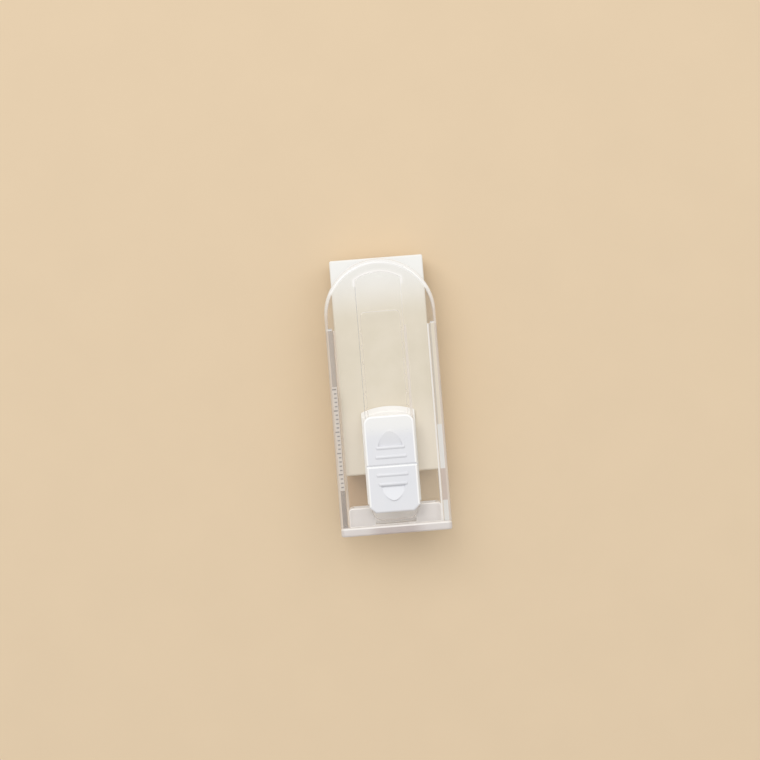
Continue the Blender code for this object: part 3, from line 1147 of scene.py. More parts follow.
    def round_outline(
        self, block: bpy.types.Object, level: float, reach: float, top_y: float, radius: float
    ) -> None:
        """Rounds one outline of the channel or the slot.

        Args:
            block: the case.
            level: the outline's Z.
            reach: how far it goes to each side.
            top_y: how far it goes towards the open end.
            radius: the rounding's radius.
        """

        def on_outline(a: Vector, b: Vector) -> bool:
            """An edge of the outline."""
            flat = max(abs(a.z - level), abs(b.z - level)) < NEAR
            return flat and max(abs(a.x), abs(b.x)) < reach and max(a.y, b.y) < top_y

        round_edges(block, on_outline, radius, 3)

    def notches(self, flare: float = 0.0) -> bpy.types.Object:
        """All click notches, or the flared mouths above them, as one set of upright bars.

        Args:
            flare: how much wider a mouth is at the channel's floor.

        Returns:
            The set.
        """
        s = self.sizes
        middle = Vector((s.slot_half, s.y_at(s.first_stop_drop), s.inner_front_z))
        length = 4 * s.front_wall
        tip = None
        if flare:
            middle.z = s.channel_z
            length = 2 * flare
            tip = s.stop_radius + 2 * flare
        bar = add_bar("notches", s.stop_radius, middle, length, Axis.Z, sides=24, tip=tip)
        repeat_down(bar, s.stops, s.stop_pitch)
        both = bar.modifiers.new("both edges", "MIRROR")
        both.use_axis = (True, False, False)
        both.use_mirror_merge = False
        bpy.ops.object.modifier_apply(modifier=both.name)
        return bar

    def at_slot(self, a: Vector, b: Vector) -> bool:
        """Tells if both places are on the slot's walls, notches or outlines.

        Args:
            a: the first place.
            b: the second place.

        Returns:
            True if they are.
        """
        s = self.sizes
        beside = max(abs(a.x), abs(b.x)) < s.slot_half + s.stop_reach
        above = min(a.z, b.z) > s.inner_front_z - 0.2 * MM
        return beside and above and max(a.y, b.y) < s.slot_top_y + s.edge_zone

    def stays(self, a: Vector, b: Vector) -> bool:
        """Tells if an edge keeps its shape when the others are softened.

        Args:
            a: its first end.
            b: its second end.

        Returns:
            True if it does.
        """
        s = self.sizes
        inside_step = max(abs(a.x), abs(b.x)) < s.channel_width / 2 + s.step_width + NEAR
        at_step = inside_step and min(a.z, b.z) > s.step_z - NEAR and max(a.y, b.y) < s.step_top_y
        at_mouth = max(abs(a.y - s.mouth_y), abs(b.y - s.mouth_y)) < s.ledge_radius + NEAR
        return max(a.y, b.y) < s.low.y or at_step or at_mouth or self.at_slot(a, b)

    def on_rim(self, middle: Vector, normal: Vector) -> bool:
        """Tells if a face gets the painted highlight: a rounding, or the end of a side wall.

        Args:
            middle: the face's middle.
            normal: its normal.

        Returns:
            True if it is.
        """
        s = self.sizes
        notch = abs(abs(middle.x) - s.slot_half) > 0.21 * MM
        plain_side = abs(normal.x) > 0.6 and self.at_slot(middle, middle) and not notch
        wall_end = normal.y > 0.9 and abs(middle.y - s.mouth_y) < NEAR
        return (ASKEW < abs(normal.z) < SQUARE_ON and not plain_side) or wall_end

    def on_bead(self, middle: Vector, normal: Vector) -> bool:
        """Tells if a face catches the light in a bright line.

        Args:
            middle: the face's middle.
            normal: its normal.

        Returns:
            True if it is on a wall's bead, in the right wall's inner corner, or on an arc's step.
        """
        s = self.sizes
        at_bead = abs(middle.x) > s.inner_half and -NEAR < middle.y - s.mouth_y < s.ledge_radius + NEAR
        faces_up = -0.01 < normal.y < SQUARE_ON and abs(normal.x) < 0.5 and middle.z < s.high.z - NEAR
        across = s.inner_half - s.room_radius < middle.x < s.inner_half
        upright = s.inner_front_z - s.room_radius < middle.z < s.inner_front_z
        corner = across and upright and middle.y < s.mouth_y
        at_arc = middle.y > s.step_top_y - s.channel_drop and abs(middle.z - s.step_z) < NEAR
        return at_bead and faces_up or corner or at_arc or self.on_slot_top(middle, normal)

    def on_slot_top(self, middle: Vector, normal: Vector) -> bool:
        """Tells if a face is on the rounding at the slot's top end.

        Args:
            middle: the face's middle.
            normal: its normal.

        Returns:
            True if it is.
        """
        s = self.sizes
        near_top = abs(middle.y - s.slot_top_y) < s.edge_zone and abs(middle.x) < s.slot_half - 0.5 * MM
        return near_top and middle.z > s.channel_z - s.edge_zone and ASKEW < normal.z < SQUARE_ON

    def on_channel_rim(self, middle: Vector, normal: Vector) -> bool:
        """Tells if a face gets the painted highlight on the step beside the channel, on the right.

        Args:
            middle: the face's middle.
            normal: its normal, which is not used.

        Returns:
            True if it is.
        """
        s = self.sizes
        beside = middle.x > s.channel_width / 2 and abs(middle.z - s.step_z) < NEAR
        return beside and middle.y < s.mouth_y

    def on_base(self, middle: Vector, normal: Vector) -> bool:
        """Tells if a face gets painted light, where its far side would show black in clear plastic.

        Args:
            middle: the face's middle.
            normal: its normal.

        Returns:
            True if it is on the outline of the back wall, in a notch, at an end of the slot or at the foot.
        """
        s = self.sizes
        outer = middle.y > s.mouth_y or abs(middle.x) > s.half_width - NEAR
        upright = abs(normal.z) < ASKEW
        outline = outer and middle.z < s.back_wall + s.base_rise
        at_end = abs(middle.x) > s.slot_half + 2 * NEAR or abs(normal.y) > 0.7
        in_slot = at_end and self.at_slot(middle, middle)
        return upright and (outline or in_slot) or middle.y < s.low.y and normal.y < -0.9

    def on_left_line(self, middle: Vector, normal: Vector) -> bool:
        """Tells if a face gets painted shade on the channel's straight left edge.

        Args:
            middle: the face's middle.
            normal: its normal.

        Returns:
            True if it is.
        """
        s = self.sizes
        beside = abs(middle.x + s.channel_width / 2) < 0.2 * MM and middle.z > s.inner_front_z
        straight = s.straight_foot_y < middle.y < s.step_top_y - s.channel_drop
        return beside and straight and normal.z > ASKEW

    def on_wall(self, middle: Vector, normal: Vector) -> bool:
        """Tells if a face is the top of a side wall, which gets painted shade.

        Args:
            middle: the face's middle.
            normal: its normal.

        Returns:
            True if it is.
        """
        s = self.sizes
        over_wall = abs(middle.x) > s.inner_half + 2 * NEAR and middle.y < s.mouth_y + 2 * NEAR
        return over_wall and normal.z > SQUARE_ON

    def on_right_wall(self, middle: Vector, normal: Vector) -> bool:
        """Tells if a face is the top of the right side wall, which gets painted light and shade."""
        return middle.x > 0 and self.on_wall(middle, normal)

    def on_floor(self, middle: Vector, normal: Vector) -> bool:
        """Tells if a face is the inner face of the back wall, whose left half gets painted shade.

        Args:
            middle: the face's middle.
            normal: its normal.

        Returns:
            True if it is.
        """
        s = self.sizes
        level = normal.z > SQUARE_ON and abs(middle.z - s.back_wall) < NEAR
        return level and middle.y < s.mouth_y

    def borders(self) -> tuple[tuple[Vector, Vector], ...]:
        """The planes that faces are split along, so that a patch ends there.

        Returns:
            A point and a normal of each plane.
        """
        s = self.sizes
        wall_x = s.inner_half + 2 * NEAR
        along, across, up = Vector((0, 1, 0)), Vector((1, 0, 0)), Vector((0, 0, 1))
        return (
            (Vector((0, s.step_top_y - 1.2 * s.channel_drop, 0)), along),
            (Vector((0, s.straight_foot_y, 0)), along),
            (Vector((wall_x, 0, 0)), across),
            (Vector((-wall_x, 0, 0)), across),
            (Vector((0, s.mouth_y + 2 * NEAR, 0)), along),
            (Vector((0, 0, s.back_wall + s.base_rise)), up),
        )

    def patches(self) -> tuple[Patch, ...]:
        """The finishes of painted light on the clear plastic: painted highlights where it shows pale, painted
        shade where it shows dark or brown.

        Returns:
            The patches, each over the ones before.
        """
        s = self.sizes
        arch_foot_y = s.high.y - s.half_width
        middle_y = s.y_at(0.5 * (s.mouth_drop + s.slot_foot_drop))
        arch_start, arch_end = (arch_foot_y + offset for offset in self.arch_highlight_span)
        # painted highlight: the roundings paler towards the right and whitest at the arch
        highlight_to_right = Fade(self.right_painted_highlight, Across.X, -s.inner_half, s.inner_half)
        highlight_to_arch = Fade(self.arch_painted_highlight, Across.Y, arch_start, arch_end)
        # painted shade: the wall tops darker towards the foot
        shade_to_foot = Fade(self.left_foot_painted_shade, Across.Y, middle_y, s.low.y)
        line_start = s.half_width - self.line_inset
        line_end = line_start + self.line_width
        start_edge, end_edge = self.line_edges
        # painted light on the right wall's top: a painted shade line, then stretches paler or darker after
        # what stands behind it
        right = [
            Fade(self.right_painted_shade_line, Across.X, line_start, line_start + start_edge),
            Fade(self.right_edge_on.colour, Across.X, line_end, line_end + end_edge),
        ]
        for stretch in self.painted_right_stretches:
            start_y = s.y_at(stretch.drop)
            right.append(Fade(stretch.colour, Across.Y, start_y, start_y - self.stretch_edge))
        # painted shade: the floor of the bay browner towards the left
        shade_to_left = Fade(self.floor_painted_shade, Across.X, s.channel_width / 2, -s.channel_width / 2)
        return (
            # painted highlight on the roundings and the ends of the side walls
            Patch(self.rim.build(highlight_to_right, highlight_to_arch), self.on_rim),
            # painted highlight lines on the beads, the right inner corner, the arc's step and the slot's top
            Patch(self.bead.build(), self.on_bead),
            Patch(self.channel_rim_highlight.build(), self.on_channel_rim),
            Patch(self.base.build(), self.on_base),
            Patch(self.edge_on.build(), self.on_left_line),
            Patch(self.edge_on.build(shade_to_foot), self.on_wall),
            Patch(self.right_edge_on.build(*right), self.on_right_wall),
            Patch(self.finish.build(shade_to_left), self.on_floor),
        )

    def build(self) -> None:
        """Builds and dresses the case."""
        block = self.body()
        self.hollow(block)
        self.front_cuts(block)
        polish(block, self.sizes.softening, self.stays, self.borders())
        patches = self.patches()
        install(block, "case", self.finish.build(), "clear_case", patches)


@dataclass
class ScaleMarks:
    """A plain row of tick marks on a pale band along the left wall."""

    case: CaseSizes
    ink: PrintedInk
    band: PrintedInk
    top_drop: float = 29.3 * MM
    foot_drop: float = 53.7 * MM
    inset: float = 0.1 * MM
    width: float = 1.15 * MM
    thickness: float = 0.012 * MM
    lift: float = NEAR / 5
    tick_margin: float = 0.2 * MM
    tick_drop: float = 0.75 * MM
    tick_width: float = 0.28 * MM

    def ticks(self, length: float, pitch: float, count: int) -> bpy.types.Object:
        """A row of ticks.

        Args:
            length: how long each is.
            pitch: how far apart they are.
            count: how many there are.

        Returns:
            The row.
        """
        x = -self.case.inner_half - self.inset - self.tick_margin
        z = self.case.high.z + self.thickness + self.lift
        low = Vector((x - length, self.case.y_at(self.top_drop) - self.tick_drop, z))
        tick = add_block("scale_ticks", low, Vector((x, low.y + self.tick_width, z + self.thickness)))
        repeat_down(tick, count, pitch)
        return tick

    def build(self) -> None:
        """Builds and dresses the band and the ticks."""
        inner_x = -self.case.inner_half - self.inset
        top_z = self.case.high.z
        low = Vector((inner_x - self.width, self.case.y_at(self.foot_drop), top_z + self.lift))
        high = Vector((inner_x, self.case.y_at(self.top_drop), top_z + self.thickness))
        band = add_block("scale_band", low, high)
        ticks = self.ticks(0.6 * MM, 1.0 * MM, 24)
        combine(ticks, self.ticks(0.95 * MM, 5.0 * MM, 5), Operation.ADD)
        install(band, "case", self.band.build())
        install(ticks, "case", self.ink.build())


@dataclass
class EndCap:
    """The milky end cap: a flange and a hollow plug whose front is cut away in the middle."""

    low: Vector
    high: Vector
    case: CaseSizes
    finish: MilkyPlastic
    inside: MilkyPlastic
    # painted highlight on the cap's roundings
    rim: MilkyPlastic
    # painted shade: the flange's front darker towards its middle
    middle: Colour
    # painted light: the plug paler than the flange, lifting its shade
    plug_painted_light: Colour
    flange: float = 2.1 * MM
    flange_corner: float = 1.2 * MM
    flange_edge: float = 0.5 * MM
    clearance: float = 0.3 * MM
    plug_wall: float = 1.2 * MM
    plug_corner: float = 1.0 * MM
    plug_edge: float = 0.35 * MM
    window_width: float = 9.6 * MM
    window_sill: float = 0.35 * MM
    softening: float = 0.15 * MM

    @property
    def flange_top(self) -> float:
        """Where the flange ends and the plug starts."""
        return self.low.y + self.flange

    @property
    def plug_back_z(self) -> float:
        """The plug's face towards the case's back wall."""
        return self.case.back_wall + self.clearance

    @property
    def plug_front_z(self) -> float:
        """The plug's face towards the case's front wall."""
        return self.case.inner_front_z - self.clearance

    def body(self) -> bpy.types.Object:
        """The flange with the plug on it, still solid.

        Returns:
            The solid.
        """
        cap = add_block("end_cap_body", self.low, Vector((self.high.x, self.flange_top, self.high.z)))
        round_edges(cap, lambda a, b: abs(a.y - b.y) > NEAR, self.flange_corner, 8)
        round_edges(cap, lambda a, b: abs(a.y - b.y) < NEAR, self.flange_edge, 4)
        half = self.case.inner_half - self.clearance
        plug_low = Vector((-half, self.flange_top - WELD_LAP, self.plug_back_z))
        plug = add_block("plug", plug_low, Vector((half, self.high.y, self.plug_front_z)))

        def upright_at_top(a: Vector, b: Vector) -> bool:
            """An upright edge at the plug's far end."""
            return abs(a.z - b.z) > NEAR and min(a.y, b.y) > self.high.y - NEAR

        def in_front(a: Vector, b: Vector) -> bool:
            """An edge round the plug's front."""
            return min(a.z, b.z) > self.plug_front_z - NEAR and max(a.y, b.y) > plug_low.y + NEAR

        round_edges(plug, upright_at_top, self.plug_corner, 6)
        round_edges(plug, in_front, self.plug_edge, 4)
        combine(cap, plug, Operation.ADD)
        return cap

    def open_up(self, cap: bpy.types.Object) -> None:
        """Hollows the plug and cuts the middle of its front away, which leaves two tongues.

        Args:
            cap: the solid cap.
        """
        inner = self.case.inner_half - self.clearance - self.plug_wall
        above = self.high.y + CUT_MARGIN
        low = Vector((-inner, self.flange_top, self.plug_back_z + self.plug_wall))
        high = Vector((inner, above, self.plug_front_z - self.plug_wall))
        combine(cap, add_block("hollow", low, high), Operation.CUT)
        low = Vector((-self.window_width / 2, self.flange_top + self.window_sill, self.high.z / 2))
        high = Vector((self.window_width / 2, above, self.plug_front_z + CUT_MARGIN))
        combine(cap, add_block("window", low, high), Operation.CUT)

    def build(self) -> None:
        """Builds and dresses the cap."""
        cap = self.body()
        self.open_up(cap)
        polish(cap, self.softening)

        def on_rim(middle: Vector, normal: Vector) -> bool:
            """A rounding of the plug, or of the flange beside it, which gets the painted highlight."""
            outline = middle.y > self.flange_top + NEAR or normal.y > ASKEW
            return outline and ASKEW < normal.z < SQUARE_ON

        def on_tongue(middle: Vector, normal: Vector) -> bool:
            """The front of a tongue."""
            in_front = middle.y > self.flange_top + NEAR and middle.z > self.plug_front_z - NEAR
            return in_front and normal.z > SQUARE_ON

        def on_front(middle: Vector, normal: Vector) -> bool:
            """The flange's front."""
            return middle.y < self.flange_top + NEAR and normal.z > ASKEW

        half_window = self.window_width / 2
        # painted shade on the flange's front, darkest in the middle
        shade_to_middle = Fade(self.middle, Across.X, 1.8 * half_window, 0.5 * half_window, mirrored=True)
        plug_start = self.flange_top + 0.5 * self.flange
        # painted light: paler from the flange onto the plug
        light_to_plug = Fade(self.plug_painted_light, Across.Y, self.flange_top, plug_start)
        patches = (
            Patch(self.finish.build(shade_to_middle), on_front),
            Patch(self.finish.build(), on_tongue),
            Patch(self.rim.build(), on_rim),
        )
        install(cap, "case", self.inside.build(light_to_plug), "end_cap", patches)


@dataclass
class EraserBlock:
    """The refill: a block of vinyl with two holes at its rear."""

    low: Vector
    high: Vector
    finish: EraserVinyl
    edge_radius: float = 0.45 * MM
    hole_radius: float = 1.6 * MM
    hole_depth: float = 7.5 * MM
    hole_spacing: float = 6.0 * MM
    softening: float = 0.1 * MM

    def build(self) -> None:
        """Builds and dresses the block."""
        block = add_block("eraser_body", self.low, self.high)
        round_edges(block, lambda a, b: True, self.edge_radius, 4)
        middle_z = (self.low.z + self.high.z) / 2
        for side in (-1, 1):
            middle = Vector((side * self.hole_spacing / 2, self.low.y, middle_z))
            hole = add_bar("hole", self.hole_radius, middle, 2 * self.hole_depth, Axis.Y)
            combine(block, hole, Operation.CUT)
        polish(block, self.softening)
        finish = self.finish.build(self.low.y, self.high.y)
        install(block, "eraser", finish, "eraser_block")


@dataclass
class ThumbPad:
    """The white pad outside the case, with the runner, neck, click bumps and pegs under it."""

    low: Vector
    high: Vector
    case: CaseSizes
    finish: WhitePlastic
    # painted highlight on the roundings that the light catches
    painted_light_finish: WhitePlastic
    # painted light: the pad paler towards its far end, nearer the lamps
    top_painted_light: Colour
    clearance: float = 0.3 * MM
    top_corner: float = 2.0 * MM
    foot_corner: float = 1.4 * MM
    edge_radius: float = 0.5 * MM
    groove_setback: float = 11.8 * MM
    groove_half: float = 0.4 * MM
    groove_depth: float = 0.5 * MM
    first_bar: float = 2.1 * MM
    bar_pitch: float = 2.15 * MM
    bar_length: float = 7.3 * MM
    bar_shortening: float = 0.7 * MM
    bar_radius: float = 0.45 * MM
    bar_height: float = 0.3 * MM
    bar_end: float = 0.15 * MM
    arrow_gap: float = 0.35 * MM
    arrow_base: float = 5.9 * MM
    arrow_length: float = 3.6 * MM
    arrow_height: float = 0.4 * MM
    arrow_dip: float = 0.45 * MM
    pocket_share: float = 0.96
    neck_inset: float = 1.5 * MM
    neck_play: float = 0.2 * MM
    bump_setback: float = 4.15 * MM
    bump_radius: float = 0.6 * MM
    bump_inset: float = 0.4 * MM
    peg_inset: float = 5.0 * MM
    peg_radius: float = 1.0 * MM
    softening: float = 0.07 * MM
    marks_above: float = 0.5 * MM
    bumps_from: float = 3.0 * MM
    top_light_start: float = 16.5 * MM
    top_light_end: float = 1.5 * MM
    lit_depth: float = 0.55 * MM
    lit_groove: float = 0.6 * MM
    lit_foot: float = 1.5 * MM
    lit_top: float = 0.6 * MM

    @property
    def back_z(self) -> float:
        """Where the underside runs over the case."""
        return self.case.high.z + self.clearance

    @property
    def front_z(self) -> float:
        """The upper face, below its grip marks."""
        return self.high.z - self.arrow_height

    @property
    def groove_y(self) -> float:
        """Where the groove crosses the pad."""
        return self.high.y - self.groove_setback

    def plate(self) -> bpy.types.Object:
        """The pad with its corners and edges rounded.

        Returns:
            The plate.
        """
        low = Vector((self.low.x, self.low.y, self.back_z))
        high = Vector((self.high.x, self.high.y, self.front_z))
        plate = add_block("thumb_pad_body", low, high)
        middle_y = (low.y + high.y) / 2

        def upright_top(a: Vector, b: Vector) -> bool:
            """An upright edge at the far end."""
            return abs(a.z - b.z) > NEAR and min(a.y, b.y) > middle_y

        def upright_foot(a: Vector, b: Vector) -> bool:
            """An upright edge at the foot."""
            return abs(a.z - b.z) > NEAR and max(a.y, b.y) < low.y + NEAR

        round_edges(plate, upright_top, self.top_corner, 10)
        round_edges(plate, upright_foot, self.foot_corner, 1)
        round_edges(plate, lambda a, b: min(a.z, b.z) > high.z - NEAR, self.edge_radius, 5)
        return plate

    def arrow(self, base_y: float, way: int, share: float, depth: float) -> bpy.types.Object:
        """An upright prism with bowed sides and a round tip, centred on the pad's upper face.

        Args:
            base_y: where its straight base lies.
            way: 1 if it points along +Y, or -1.
            share: its size, as a share of the arrowhead's.
            depth: how far it reaches above and below the face.

        Returns:
            The prism.
        """
        bpy.ops.object.select_all(action="DESELECT")
        bpy.ops.curve.primitive_bezier_curve_add()
        curve = bpy.context.active_object
        curve.data.dimensions = "2D"
        curve.data.fill_mode = "BOTH"
        curve.data.extrude = depth
        curve.data.resolution_u = 16
        spline = curve.data.splines[0]
        spline.bezier_points.add(1)
        spline.use_cyclic_u = True
        half = share * self.arrow_base / 2
        length = share * self.arrow_length
        places = ((half, 0.0), (0.0, length), (-half, 0.0))
        bow = 0.93 * half
        flat = 0.39 * half
        rise = 0.48 * length
        handles = (
            ((0.3 * half, 0.0), (bow, rise)),
            ((flat, length), (-flat, length)),
            ((-bow, rise), (-0.3 * half, 0.0)),
        )
        for point, place, (left, right) in zip(spline.bezier_points, places, handles):
            point.handle_left_type = "FREE"
            point.handle_right_type = "FREE"
            point.co = (*place, 0)
            point.handle_left = (*left, 0)
            point.handle_right = (*right, 0)
        bpy.ops.object.convert(target="MESH")
        prism = bpy.context.active_object
        prism.location = (0, base_y, self.front_z)
        prism.rotation_euler = (0, 0, 0 if way > 0 else math.pi)
        settle(prism, "arrow")
        with editing(prism, "VERT"):
            bpy.ops.mesh.select_all(action="SELECT")
            bpy.ops.mesh.remove_doubles(threshold=MERGE_DISTANCE)
            bpy.ops.mesh.normals_make_consistent(inside=False)
        return prism

    def arrowhead(self, plate: bpy.types.Object, base_y: float, way: int) -> None:
        """Sinks a pocket, and fills it with a wedge that rises out of it towards its tip.

        Args:
            plate: the pad.
            base_y: where the arrowhead's straight base lies.
            way: 1 if it points along +Y, or -1.
        """
        inset = 0.5 * (1 - self.pocket_share) * self.arrow_length
        rise = self.arrow_dip + self.arrow_height
        combine(plate, self.arrow(base_y + way * inset, way, self.pocket_share, rise), Operation.CUT)
        thick = 2 * self.arrow_height
        wedge = self.arrow(base_y, way, 1.0, thick)
        with editing(wedge, "VERT"):
            bpy.ops.mesh.select_all(action="SELECT")
            bpy.ops.transform.rotate(
                value=-way * math.atan2(self.arrow_height + self.arrow_dip, self.arrow_length),
                orient_axis="X",
                center_override=(0, base_y, self.front_z + thick),
            )
            bpy.ops.transform.translate(value=(0, 0, -thick - self.arrow_dip))
        combine(plate, wedge, Operation.ADD)

    def grip_marks(self, plate: bpy.types.Object) -> None:
        """Cuts the groove, and adds the bars and arrowheads.

        Args:
            plate: the pad.
        """
        wide = self.high.x + CUT_MARGIN
        groove = add_bar("groove", MM, Vector((0, 0, 0)), 2 * wide, Axis.X, sides=4)
        groove.scale = (1.0, self.groove_half / MM, self.groove_depth / MM)
        groove.location = (0, self.groove_y, self.front_z)
        settle(groove, "groove")
        combine(plate, groove, Operation.CUT)
        bar_z = self.front_z + self.bar_height - self.bar_radius
        for way in (1, -1):
            for index in range(2):
                offset = self.first_bar + self.bar_pitch * index
                middle = Vector((0, self.groove_y + way * offset, bar_z))
                length = self.bar_length - self.bar_shortening * index
                bar = add_bar("bar", self.bar_radius, middle, length, Axis.X)
                round_edges(bar, lambda a, b: abs(a.x - b.x) < NEAR, self.bar_end, 3)
                combine(plate, bar, Operation.ADD)
            base_offset = self.first_bar + self.bar_pitch + self.arrow_gap
            self.arrowhead(plate, self.groove_y + way * base_offset, way)

    def under_side(self, plate: bpy.types.Object) -> None:
        """Adds the runner, the neck, the click bumps and the two pegs.

        Args:
            plate: the pad.
        """
        runner_half = self.case.channel_width / 2 - self.clearance
        foot_y = self.low.y + self.neck_inset
        top_y = self.high.y - self.neck_inset
        runner_z = self.case.channel_z + self.clearance
        low = Vector((-runner_half, foot_y, runner_z))
        runner = add_block("runner", low, Vector((runner_half, top_y, self.back_z + WELD_LAP)))
        combine(plate, runner, Operation.ADD)
        neck_half = self.case.slot_half - self.clearance - self.neck_play
        low = Vector((-neck_half, foot_y, self.case.inner_front_z))
        combine(plate, add_block("neck", low, Vector((neck_half, top_y, runner_z + WELD_LAP))), Operation.ADD)
        bump_low = self.case.inner_front_z + WELD_LAP
        bump_length = runner_z + WELD_LAP - bump_low
        for side in (-1, 1):
            x = side * (neck_half - self.bump_inset)
            middle = Vector((x, top_y - self.bump_setback, bump_low + bump_length / 2))
            combine(plate, add_bar("bump", self.bump_radius, middle, bump_length, Axis.Z, 32), Operation.ADD)
        peg_high = self.case.inner_front_z + WELD_LAP
        length = peg_high - self.low.z
        for y in (top_y - self.peg_inset, foot_y + self.peg_inset):
            middle = Vector((0, y, (self.low.z + peg_high) / 2))
            combine(plate, add_bar("peg", self.peg_radius, middle, length, Axis.Z, 32), Operation.ADD)

    def stays(self, a: Vector, b: Vector) -> bool:
        """Tells if an edge keeps its shape when the others are softened.

        Args:
            a: its first end.
            b: its second end.

        Returns:
            True if it is on a grip mark or a click bump.
        """
        lowest, highest = min(a.z, b.z), max(a.z, b.z)
        bumps = lowest > self.case.inner_front_z + NEAR and highest < self.case.high.z - NEAR
        beside = min(abs(a.x), abs(b.x)) > self.bumps_from
        return lowest > self.back_z + self.marks_above or (bumps and beside)

    def on_lit_edge(self, middle: Vector, normal: Vector) -> bool:
        """Tells if a face is on a rounding that the light catches.

        Args:
            middle: the face's middle.
            normal: its normal.

        Returns:
            True if it is beside or above the upper half, or on the groove's flank that faces +Y.
        """
        slope = 0.1 < normal.z < 0.995 and -self.lit_depth < middle.z - self.front_z < 0
        in_groove = abs(middle.y - self.groove_y) < self.lit_groove
        beside = abs(middle.x) > 0.7 * self.arrow_base and middle.y > self.low.y + self.lit_foot
        above = middle.y > self.high.y - self.lit_top
        return slope and (normal.y > 0.3 if in_groove else beside or above)

    def build(self) -> None:
        """Builds and dresses the pad."""
        plate = self.plate()
        self.grip_marks(plate)
        self.under_side(plate)
        polish(plate, self.softening, self.stays)
        # painted light over the pad's upper part
        light_to_top = Fade(self.top_painted_light, Across.Y, self.low.y + self.top_light_start, self.high.y - self.top_light_end)
        # painted highlight on the lit roundings and the groove's lit flank
        patches = (Patch(self.painted_light_finish.build(), self.on_lit_edge),)
        install(plate, "slider", self.finish.build(light_to_top), "thumb_pad", patches)


@dataclass
class Pusher:
    """The white saddle plate behind the slot, with its lip, block and barbed prongs."""

    low: Vector
    high: Vector
    pad_low: Vector
    pad_high: Vector
    finish: WhitePlastic
    bow: float = 1.2 * MM
    thickness: float = 0.9 * MM
    step: float = 0.25 * MM
    step_inset: float = 0.35 * MM
    lip: float = 1.3 * MM
    block_half: float = 4.8 * MM
    block_length: float = 4.5 * MM
    block_rise: float = 9.1 * MM
    prong_top_z: float = 12.0 * MM
    prong_reach: float = 3.0 * MM
    shaft_radius: float = 0.9 * MM
    shaft_length: float = 5.6 * MM
    shaft_offset: float = 2.6 * MM
    barb_radius: float = 1.3 * MM
    barb_tip: float = 0.3 * MM
    barb_length: float = 2.4 * MM
    barb_offset: float = 6.3 * MM
    hole_inset: float = 6.5 * MM
    hole_radius: float = 1.3 * MM
    hole_length: float = 2.2 * MM
    softening: float = 0.1 * MM

    def saddle(self) -> bpy.types.Object:
        """The bowed plate, with a raised middle that leaves a lip.

        Returns:
            The plate.
        """
        half = self.high.x
        radius = (half * half + self.bow * self.bow) / (2 * self.bow)
        step_z = self.high.z - self.step
        back = Vector((0, self.low.y, self.high.z - self.thickness))
        saddle = add_arched_plate("pusher_body", half, radius, back, Vector((0, self.high.y, step_z)))
        low = Vector((0, self.low.y + self.step_inset, step_z - WELD_LAP))
        high = Vector((0, self.high.y - self.lip, self.high.z))
        combine(saddle, add_arched_plate("raised", half - self.step_inset, radius, low, high), Operation.ADD)
        return saddle

    def build(self) -> None:
        """Builds and dresses the pusher."""
        saddle = self.saddle()
        top = self.pad_low.y + self.block_rise
        low = Vector((-self.block_half, top - self.block_length, self.low.z))
        high = Vector((self.block_half, top, self.high.z - self.thickness + WELD_LAP))
        combine(saddle, add_block("block", low, high), Operation.ADD)
        prong_z = (self.low.z + self.prong_top_z) / 2
        for side in (-1, 1):
            x = side * self.prong_reach
            middle = Vector((x, top + self.shaft_offset, prong_z))
            shaft = add_bar("shaft", self.shaft_radius, middle, self.shaft_length, Axis.Y, 32)
            combine(saddle, shaft, Operation.ADD)
            middle = Vector((x, top + self.barb_offset, prong_z))
            barb = add_bar(
                "barb", self.barb_radius, middle, self.barb_length, Axis.Y, 32, tip=self.barb_tip
            )
            combine(saddle, barb, Operation.ADD)
        for y in (self.pad_high.y - self.hole_inset, self.pad_low.y + self.hole_inset):
            middle = Vector((0, y, self.high.z))
            hole = add_bar("peg_hole", self.hole_radius, middle, self.hole_length, Axis.Z, 32)
            combine(saddle, hole, Operation.CUT)
        polish(saddle, self.softening)
        install(saddle, "slider", self.finish.build(), "pusher")


# Studio


@dataclass(frozen=True)
class Lamp:
    """A soft square lamp that points at the object."""

    name: str
    place: tuple[float, float, float]
    size: float
    watts: float

    def hang(self) -> None:
        """Puts the lamp into the scene."""
        data = bpy.data.lights.new(self.name, "AREA")
        data.shape = "SQUARE"
        data.size = self.size
        data.energy = self.watts
        lamp = bpy.data.objects.new(self.name, data)
        lamp.location = self.place
        lamp.rotation_euler = (-Vector(self.place)).to_track_quat("-Z", "Y").to_euler()
        bpy.context.scene.collection.objects.link(lamp)


